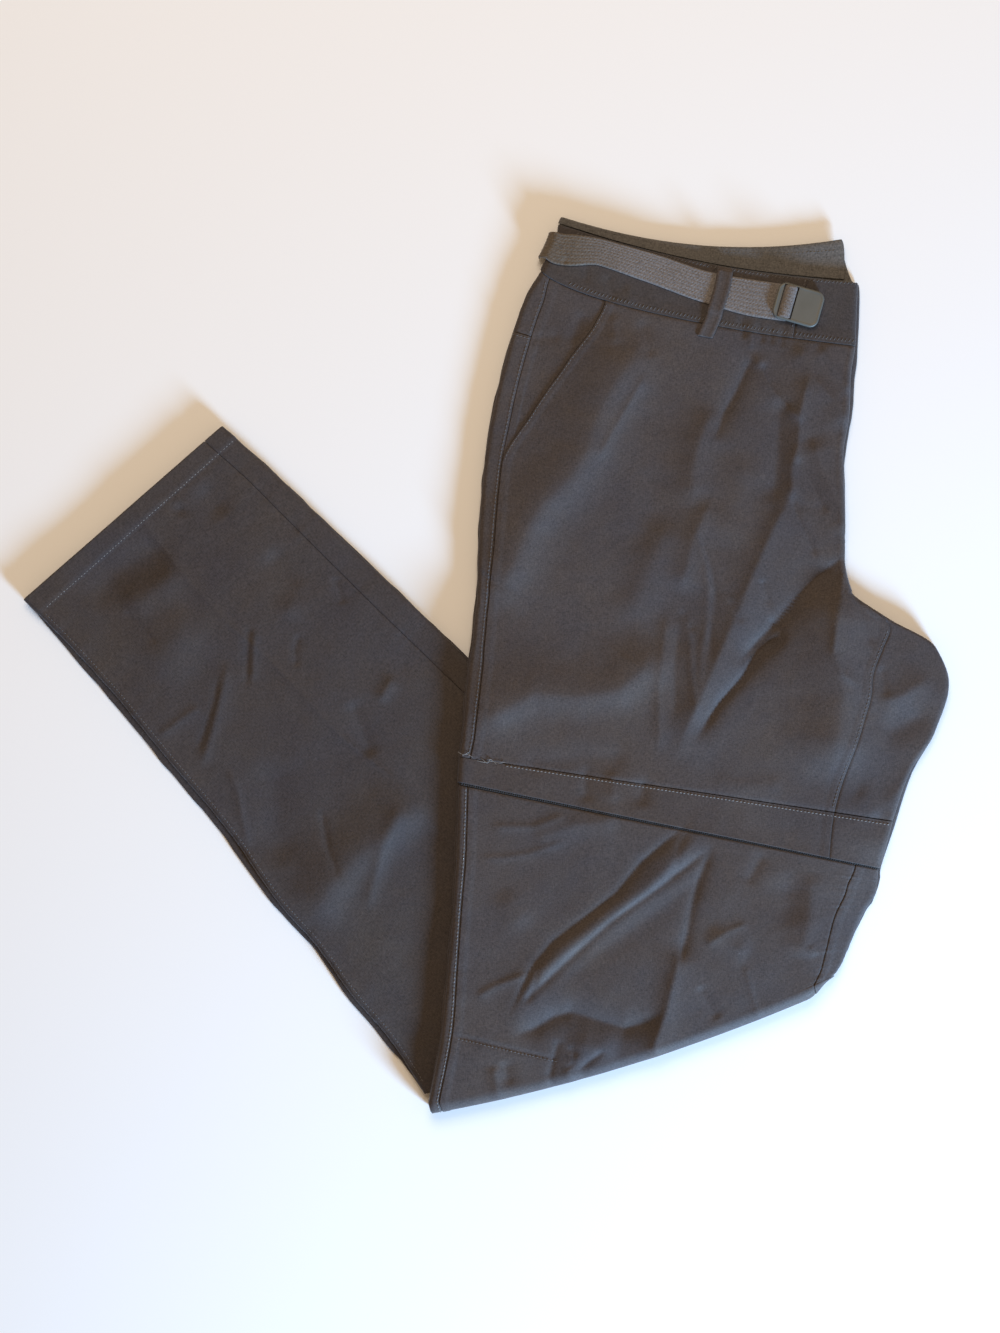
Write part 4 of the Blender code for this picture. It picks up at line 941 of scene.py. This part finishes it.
seam_stitches("side_seam_stitches", thighs, (44, 329), side_seam, -1.5, 0.12)
seam_stitches("pocket_edge_stitches", thighs, (2, 129), pocket_edge, 1.5, 0.28, thick=0.34)
seam_stitches("inseam_stitches", thighs, (242, 330), inner_seam, -1.8, 0.32)
seam_stitches("knee_side_stitches", thighs, (351, FOLD_END - 12), side_seam, -1.5, 0.12, material=pale_thread)
seam_stitches("outseam_stitches", lower_legs, (16, LOWER_END - 8), outseam, 2.0, 0.3, thick=0.36)
seam_stitches("yoke_side_stitches", thighs, (3, 40), side_seam, -1.6, 0.05, thick=0.34)
seam_stitches("tab_seam_stitches", thighs, (-29, -1), tab_seam, -1.8, 0.32)


def row_stitches(name, legs, down, part, out, **how):
    """Stitches along a row, over part of its girth."""
    girth = legs.girth(down)
    places = np.linspace(part[0], part[1] if part[1] > 0 else girth + part[1], ROW_PLACES)
    return stitch(name, on_cloth(legs, np.full(ROW_PLACES, float(down)), places, out), **how)


row_stitches("cover_stitches", thighs, COVER_STITCHES + 1.2, (33, -3), 0.12, material=pale_thread,
             share=0.52, thick=0.6)
row_stitches("waist_seam_stitches", thighs, -2.4, (20, -3), 0.36, share=0.95, turn=1.15, thick=0.36)
row_stitches("waist_edge_stitches", thighs, -28.6, (14, -3), 0.02, share=0.8, turn=0.9, thick=0.34)
row_stitches("waist_back_stitches", thighs, -35.8, (12, -8), 0.0, thick=0.32)
row_stitches("hem_stitches", lower_legs, HEM, (3, -3), 0.02, material=pale_thread, share=0.55, thick=0.36)
row_stitches("yoke_stitches", thighs, YOKE_SEAM + 1.8, (1, 13), 0.3, thick=0.34)

DART_LINE = ((-20.0, -252.5), (14, -260.5), (47, -268.0))
DART_ROW = 520.0
DART_PLACES = 90


def on_top(legs, line, row, count):
    """A line over the top of the cloth, by its places seen from above."""
    line = np.array(line, float)
    part = np.linspace(0, len(line) - 1, count)
    x, y = (np.interp(part, np.arange(len(line)), line[:, axis]) for axis in range(2))
    down = np.full(count, row)
    height = legs.top(down, x, y)
    slope_x = (legs.top(down, x + BESIDE, y) - height) / BESIDE
    slope_y = (legs.top(down, x, y + BESIDE) - height) / BESIDE
    normal = np.stack((-slope_x, -slope_y, np.ones(count)), axis=-1)
    return np.stack((x, y, height), axis=-1), normal / np.linalg.norm(normal, axis=-1, keepdims=True)


stitch("knee_dart_stitches", on_top(thighs, DART_LINE, DART_ROW, DART_PLACES), thick=0.4)

# The tack at the left end of the zip cover: a few untidy stitches and two loose thread ends.
TACKS = (
    ((-6, -64.5), (-1, -65.5), (4, -65.0), (9, -66.0), (13, -65.5)),
    ((-3, -63.0), (1, -66.0), (3, -63.5), (7, -66.8)),
    ((-19, -58.5), (-15, -60.5), (-12, -59.0), (-11, -61.5)),
    ((-16, -61.0), (-13, -60.0), (-9, -62.0)),
)
TACK_THICK = 0.36
THREAD_PLACES = 28
THREAD_SIDES = 5
THREAD_LIFT = 0.35
THREAD_WAVE = 0.5
PAST_EDGE = -16


def thread_ends(name, lines, thick):
    """Short threads that lie on the cloth in uneven curves."""
    points, faces = [], []
    size = THREAD_PLACES * THREAD_SIDES
    for line in lines:
        line = np.array(line, float)
        part = np.linspace(0, len(line) - 1, THREAD_PLACES)
        x, y = (follow(np.arange(len(line), dtype=float), line[:, axis], part) for axis in range(2))
        z = thighs.top(np.full(THREAD_PLACES, COVER_STITCHES), x, y)
        z = z + THREAD_LIFT + THREAD_WAVE * np.abs(np.sin(part * 2.6))
        z = np.where(x < PAST_EDGE, z - 1.5, z)
        run = np.gradient(np.stack((x, y), axis=-1), axis=0)
        run = run / np.linalg.norm(run, axis=1, keepdims=True)
        base = len(points)
        for place in range(THREAD_PLACES):
            for corner in range(THREAD_SIDES):
                turned = corner * math.tau / THREAD_SIDES
                across, high = 0.5 * thick * math.cos(turned), 0.5 * thick * math.sin(turned)
                points.append((x[place] - run[place, 1] * across, y[place] + run[place, 0] * across,
                               z[place] + high))
        for ring in range(base, base + size - THREAD_SIDES, THREAD_SIDES):
            for corner in range(THREAD_SIDES):
                here, after = ring + corner, ring + (corner + 1) % THREAD_SIDES
                faces.append([here, here + THREAD_SIDES, after + THREAD_SIDES, after])
        faces += [[base + corner for corner in range(THREAD_SIDES)],
                  [base + size - 1 - corner for corner in range(THREAD_SIDES)]]
    show(name, np.array(points), faces, pale_thread)


thread_ends("cover_tack_threads", TACKS, TACK_THICK)

# Zip: black woven tape under the cover's edge, with a coil of teeth along it.
ZIP_BLACK = (0.02, 0.019, 0.02, 1)
TOOTH_PITCH = 1.5
TAPE_DEPTH = -0.45
TAPE_THICK = 0.7
TEETH_ROW = 348.7
zip_black = woven("zip_tape_black", ZIP_BLACK, (0.03, 0.028, 0.028, 1), 0.2, (0.5, 0.7), 1200, 0.0002, 0.1)
zip_tape = sew_panel("zip_tape_cloth", "zip_tape", thighs, (ZIP_TOP + 0.3, KNEE_TOP - 0.3),
                     (left_edge, right_edge), (plain, plain, plain, plain), zip_black, TAPE_DEPTH, TAPE_THICK)
row_stitches("zip_teeth", thighs, TEETH_ROW, (1, -1), TAPE_DEPTH, material=zip_black, pitch=TOOTH_PITCH,
             share=1.1, thick=0.7, turn=1.4)

# Belt: taupe webbing, woven with ribs along it, that lies over the waistband from round its left
# edge through the loop to the buckle.
WEBBING_THICK = 1.3
WEBBING_COLUMNS = "down lower_edge upper_edge stand_off"
WEBBING_ROWS = (
    (-5.5, -7.5, -25.0, 4.2),
    (0, -7.5, -25.0, 4.4),
    (2.3, -7.6, -25.1, 2.4),
    (4.6, -7.8, -25.4, 0.8),
    (14, -10, -27.5, 0.4),
    (35, -15.5, -29.8, 0.3),
    (66, -14, -29.0, 0.3),
    (108, -10.2, -24.5, 0.3),
    (150, -7.5, -23.5, 0.3),
    (168, -7.5, -23.0, 0.3),
)
# Painted shade on the webbing: its colour is multiplied by this brown over this span of object X, fully
# towards the side edge, where it turns away from the light.
WEBBING_PAINTED_SHADE = (0.68, 0.60, 0.47, 1)
PAINTED_SHADE_FROM_TO = (0.098, 0.060)
RIBS = 9
RIB_STEPS = 6
RIB_HIGH = 0.17
PICK_HIGH = 0.09
PICK_PITCH = 2.2
SELVEDGE = 0.035
SELVEDGE_THIN = 0.3
webbing_table = dict(zip(WEBBING_COLUMNS.split(), np.array(WEBBING_ROWS, float).T))


def webbing_relief(across, along):
    """Ribs along the webbing, each crossed by short picks that stand in turn with its neighbours'."""
    rib = np.abs(np.sin(across * RIBS * math.pi)) ** 0.7
    turn = np.floor(across * RIBS) % 2
    pick = np.cos((along / PICK_PITCH + 0.5 * turn) * math.tau)
    edge = ease(0, SELVEDGE, across) * ease(0, SELVEDGE, 1 - across)
    return (RIB_HIGH * rib + PICK_HIGH * pick * rib) * edge - SELVEDGE_THIN * (1 - edge)


def webbing_material():
    """Taupe yarns, with painted shade: browner and darker towards the side edge of the trousers."""
    material = woven("taupe_webbing", (0.158, 0.146, 0.148, 1), (0.136, 0.120, 0.114, 1), 0.3,
                     (0.6, 0.8), 900, 0.00025, 0.35)
    nodes, links = material.node_tree.nodes, material.node_tree.links
    place, parts = nodes.new("ShaderNodeTexCoord"), nodes.new("ShaderNodeSeparateXYZ")
    shade_ramp, mixed = nodes.new("ShaderNodeMapRange"), nodes.new("ShaderNodeMix")
    shade_ramp.inputs["From Min"].default_value, shade_ramp.inputs["From Max"].default_value = PAINTED_SHADE_FROM_TO
    mixed.data_type = "RGBA"
    mixed.blend_type = "MULTIPLY"
    mixed.inputs[7].default_value = WEBBING_PAINTED_SHADE
    color = nodes["Principled BSDF"].inputs["Base Color"]
    links.new(color.links[0].from_socket, mixed.inputs[6])
    links.new(place.outputs["Object"], parts.inputs["Vector"])
    links.new(parts.outputs["X"], shade_ramp.inputs["Value"])
    links.new(shade_ramp.outputs["Result"], mixed.inputs["Factor"])
    links.new(mixed.outputs[2], color)
    return material


taupe = webbing_material()
along = np.concatenate((np.linspace(-5.5, 6, 20), np.linspace(6.5, 168, 300)))[:, None]
lower_edge, upper_edge, stand_off = (follow(webbing_table["down"], webbing_table[name], along)
                                     for name in ("lower_edge", "upper_edge", "stand_off"))
across = np.linspace(0, 1, RIBS * RIB_STEPS + 1)
down = lower_edge + (upper_edge - lower_edge) * across
lift = stand_off + WEBBING_THICK - SELVEDGE_THIN + webbing_relief(across, along)
webbing_outer = thighs.surface(down, along, lift)
webbing_inner = thighs.surface(down, along, stand_off)
webbing = show("belt_webbing_ribbed", np.stack((webbing_outer, webbing_inner)), wall_faces(*down.shape),
               taupe, "belt_webbing")

# Belt loop: a folded strip of the nylon, sewn to the waistband at both ends, over the webbing.
LOOP_COLUMNS = "down stand_off middle turn"
LOOP_ROWS = (
    (-30.5, 0.3, 117, 0),
    (-28.5, 0.6, 117, 0),
    (-26.4, 2.0, 117, 0.1),
    (-17.0, 2.2, 118, 0.3),
    (-8.0, 2.0, 119, 0.2),
    (-4.5, 1.0, 120, 0),
    (0.0, 0.6, 120, 0),
    (8.5, 0.3, 121, 0),
)
LOOP_WIDE = 11.0
LOOP_THICK = 0.9
LOOP_STEP = 0.8
LOOP_STITCHES = 2.0
LOOP_RIDGE = 0.3
loop_table = dict(zip(LOOP_COLUMNS.split(), np.array(LOOP_ROWS, float).T))
loop_top, loop_bottom = LOOP_ROWS[0][0], LOOP_ROWS[-1][0]
loop_down = places_between(loop_top, loop_bottom, LOOP_STEP)[0][:, None]
loop_across = places_between(0.0, LOOP_WIDE, LOOP_STEP)[0]
middle, stand_off, twist = (follow(loop_table["down"], loop_table[name], loop_down)
                            for name in ("middle", "stand_off", "turn"))
loop_girth = middle - LOOP_WIDE / 2 + loop_across
loop_lift = stand_off + LOOP_THICK + twist * (loop_across - LOOP_WIDE / 2) / LOOP_WIDE
for from_end in (loop_down - loop_top, loop_bottom - loop_down):
    loop_lift = loop_lift + rolled(from_end)
for from_side in (loop_across, LOOP_WIDE - loop_across):
    ridge = LOOP_RIDGE * np.exp(-((from_side - LOOP_STITCHES) / 1.2) ** 2)
    loop_lift = loop_lift + rolled(from_side) + ridge
loop_outer = thighs.surface(loop_down, loop_girth, loop_lift)
loop_inner = thighs.surface(loop_down, loop_girth, stand_off)
loop_cloth = woven("belt_loop_nylon", CLOTH_COLOR, CLOTH_WORN, 0.2)
belt_loop = show("belt_loop_cloth", np.stack((loop_outer, loop_inner)), wall_faces(*loop_girth.shape),
                 loop_cloth, "belt_loop")

# Buckle: a plate of olive grey moulded plastic with two slots. Its rim is given from the bottom up,
# by how far in from the outline and how high each ring of it lies.
BUCKLE_MIDDLE = (211.8, 244.5)
BUCKLE_TURN = math.radians(-16)
BUCKLE_HALF = (16.0, 12.5)
BUCKLE_CORNER = 5.5
BUCKLE_SEAT = 11.6
SLOT_PLACES = (-11.6, -3.4)
SLOT_HALF = (1.0, 11.3)
RIM = (
    (0.30, 0.00), (0.05, 0.15), (0.00, 0.40), (0.00, 1.70), (0.10, 2.10), (0.35, 2.40),
    (0.75, 2.56), (1.25, 2.60), (1.60, 2.52), (1.90, 2.40), (2.60, 2.36),
)


def buckle_place(along, across, height):
    """Points by their place along and across the plate, which lies turned on the waistband."""
    turn_cos, turn_sin = math.cos(BUCKLE_TURN), math.sin(BUCKLE_TURN)
    x = BUCKLE_MIDDLE[0] + along * turn_cos - across * turn_sin
    y = BUCKLE_MIDDLE[1] + along * turn_sin + across * turn_cos
    return np.stack(np.broadcast_arrays(x, y, height), axis=-1)


def plastic():
    """Moulded plastic: a fine satin grain and faint paler clouds."""
    material = bpy.data.materials.new("olive_plastic")
    material.use_nodes = True
    nodes, links = material.node_tree.nodes, material.node_tree.links
    shader, place = nodes["Principled BSDF"], nodes.new("ShaderNodeTexCoord")
    grain, cloudy = nodes.new("ShaderNodeTexNoise"), nodes.new("ShaderNodeTexNoise")
    relief, rough = nodes.new("ShaderNodeBump"), nodes.new("ShaderNodeMapRange")
    mixed = nodes.new("ShaderNodeMix")
    grain.inputs["Scale"].default_value = 3200
    cloudy.inputs["Scale"].default_value = 120
    mixed.data_type = "RGBA"
    mixed.inputs[6].default_value = (0.080, 0.082, 0.074, 1)
    mixed.inputs[7].default_value = (0.108, 0.110, 0.101, 1)
    rough.inputs["To Min"].default_value = 0.36
    rough.inputs["To Max"].default_value = 0.52
    relief.inputs["Strength"].default_value = 0.35
    relief.inputs["Distance"].default_value = 0.00006
    for texture in (grain, cloudy):
        links.new(place.outputs["Object"], texture.inputs["Vector"])
    links.new(cloudy.outputs["Fac"], mixed.inputs["Factor"])
    links.new(mixed.outputs[2], shader.inputs["Base Color"])
    links.new(cloudy.outputs["Fac"], rough.inputs["Value"])
    links.new(rough.outputs["Result"], shader.inputs["Roughness"])
    links.new(grain.outputs["Fac"], relief.inputs["Height"])
    links.new(relief.outputs["Normal"], shader.inputs["Normal"])
    return material


def loft_rings(name, rings, material, node=None):
    """A closed solid through rings of points."""
    count, size = rings.shape[:2]
    faces = [list(range(size - 1, -1, -1)), list(range((count - 1) * size, count * size))]
    for ring in range(count - 1):
        for place in range(size):
            here, after = ring * size + place, ring * size + (place + 1) % size
            faces.append([here, after, after + size, here + size])
    return show(name, rings, faces, material, node)


olive_plastic = plastic()
rings = []
for shrink, height in RIM:
    outline, radius = [], BUCKLE_CORNER - shrink
    for quarter, (side_x, side_y) in enumerate(((1, 1), (-1, 1), (-1, -1), (1, -1))):
        corner_x = side_x * (BUCKLE_HALF[0] - BUCKLE_CORNER)
        corner_y = side_y * (BUCKLE_HALF[1] - BUCKLE_CORNER)
        for angle in np.linspace(quarter, quarter + 1, 10) * math.pi / 2:
            outline.append((corner_x + radius * math.cos(angle), corner_y + radius * math.sin(angle)))
    outline = np.array(outline)
    rings.append(buckle_place(outline[:, 0], outline[:, 1], BUCKLE_SEAT + height))
plate = loft_rings("belt_buckle_plate", np.array(rings), olive_plastic, "belt_buckle")
for middle in SLOT_PLACES:
    corners = np.array(((-1, -1), (1, -1), (1, 1), (-1, 1))) * SLOT_HALF + (middle, 0)
    ends = [buckle_place(corners[:, 0], corners[:, 1], BUCKLE_SEAT + height) for height in (-2.0, 6.0)]
    cutter = loft_rings("slot_cutter", np.array(ends), olive_plastic)
    cut = plate.modifiers.new("slot", "BOOLEAN")
    cut.object = cutter
    cut.solver = "EXACT"
    bpy.context.view_layer.objects.active = plate
    bpy.ops.object.modifier_apply(modifier=cut.name)
    bpy.data.objects.remove(cutter)
plate.data.shade_smooth()
plate.data.set_sharp_from_angle(angle=math.radians(35))

# The webbing comes up through one slot, turns over the bar between them, where it shows its ribs,
# and goes down through the other.
TURN_HALF = 11.0
TURN_HIGH = 3.1
TURN_ROUND = 14
turn_around = np.linspace(0, 1, 25)
turn_across = np.linspace(0, 1, RIBS * RIB_STEPS + 1)[:, None]
turn_side = (turn_across - 0.5) * 2 * TURN_HALF
turn_along = SLOT_PLACES[0] - 0.4 + (SLOT_PLACES[1] - SLOT_PLACES[0] + 0.8) * turn_around
turn_height = BUCKLE_SEAT + 0.3 + TURN_HIGH * np.sin(turn_around * math.pi) ** 0.35
turn_relief = 0.7 * webbing_relief(turn_across, turn_around * TURN_ROUND)
turn_outer = buckle_place(turn_along, turn_side, turn_height + turn_relief)
turn_inner = buckle_place(turn_along, turn_side, BUCKLE_SEAT + 0.4)
turn = show("belt_turn_ribbed", np.stack((turn_outer, turn_inner)), wall_faces(*turn_outer.shape[:2]),
            taupe, "belt_webbing_turn")

# Studio: a pale floor, cool low window light from the lower right, warm weak room light from the
# upper end, and a camera straight above.
VIEW_MIDDLE = (0.0095, -0.0007)
VIEW_HIGH = 0.906
VIEW_LEVEL = 0.009
LENS = 65.0
FLOOR_PALE = (0.93, 0.93, 0.94, 1)
bpy.ops.mesh.primitive_plane_add(size=8, location=(0, 0, -0.0004))
ground = bpy.context.object
ground.name = "floor"
pale = bpy.data.materials.new("pale_floor")
pale.use_nodes = True
pale.node_tree.nodes["Principled BSDF"].inputs["Base Color"].default_value = FLOOR_PALE
pale.node_tree.nodes["Principled BSDF"].inputs["Roughness"].default_value = 0.9
ground.data.materials.append(pale)

world = bpy.data.worlds.new("studio")
world.use_nodes = True
world.node_tree.nodes["Background"].inputs["Color"].default_value = (1.0, 0.71, 0.43, 1)
world.node_tree.nodes["Background"].inputs["Strength"].default_value = 0.33
bpy.context.scene.world = world


def soft_light(name, place, size, power, color):
    """A round light that points at the middle of the trousers."""
    light = bpy.data.lights.new(name, "AREA")
    light.shape = "DISK"
    light.size = size
    light.energy = power
    light.color = color
    lamp = bpy.data.objects.new(name, light)
    lamp.location = place
    x, y, z = place
    lamp.rotation_euler = (math.acos(z / math.hypot(x, y, z)), 0, math.atan2(y, x) + math.pi / 2)
    bpy.context.collection.objects.link(lamp)


soft_light("window_light", (1.2, -1.5, 0.54), 0.45, 100, (0.42, 0.68, 1.0))
soft_light("room_light", (-0.1, 1.3, 1.9), 1.4, 24, (1.0, 0.84, 0.66))

camera = bpy.data.cameras.new("camera")
camera.lens = LENS
seen = bpy.data.objects.new("camera", camera)
seen.location = (*VIEW_MIDDLE, VIEW_LEVEL + VIEW_HIGH * LENS / camera.sensor_width)
bpy.context.collection.objects.link(seen)
bpy.context.scene.camera = seen
bpy.context.scene.view_settings.view_transform = "Standard"
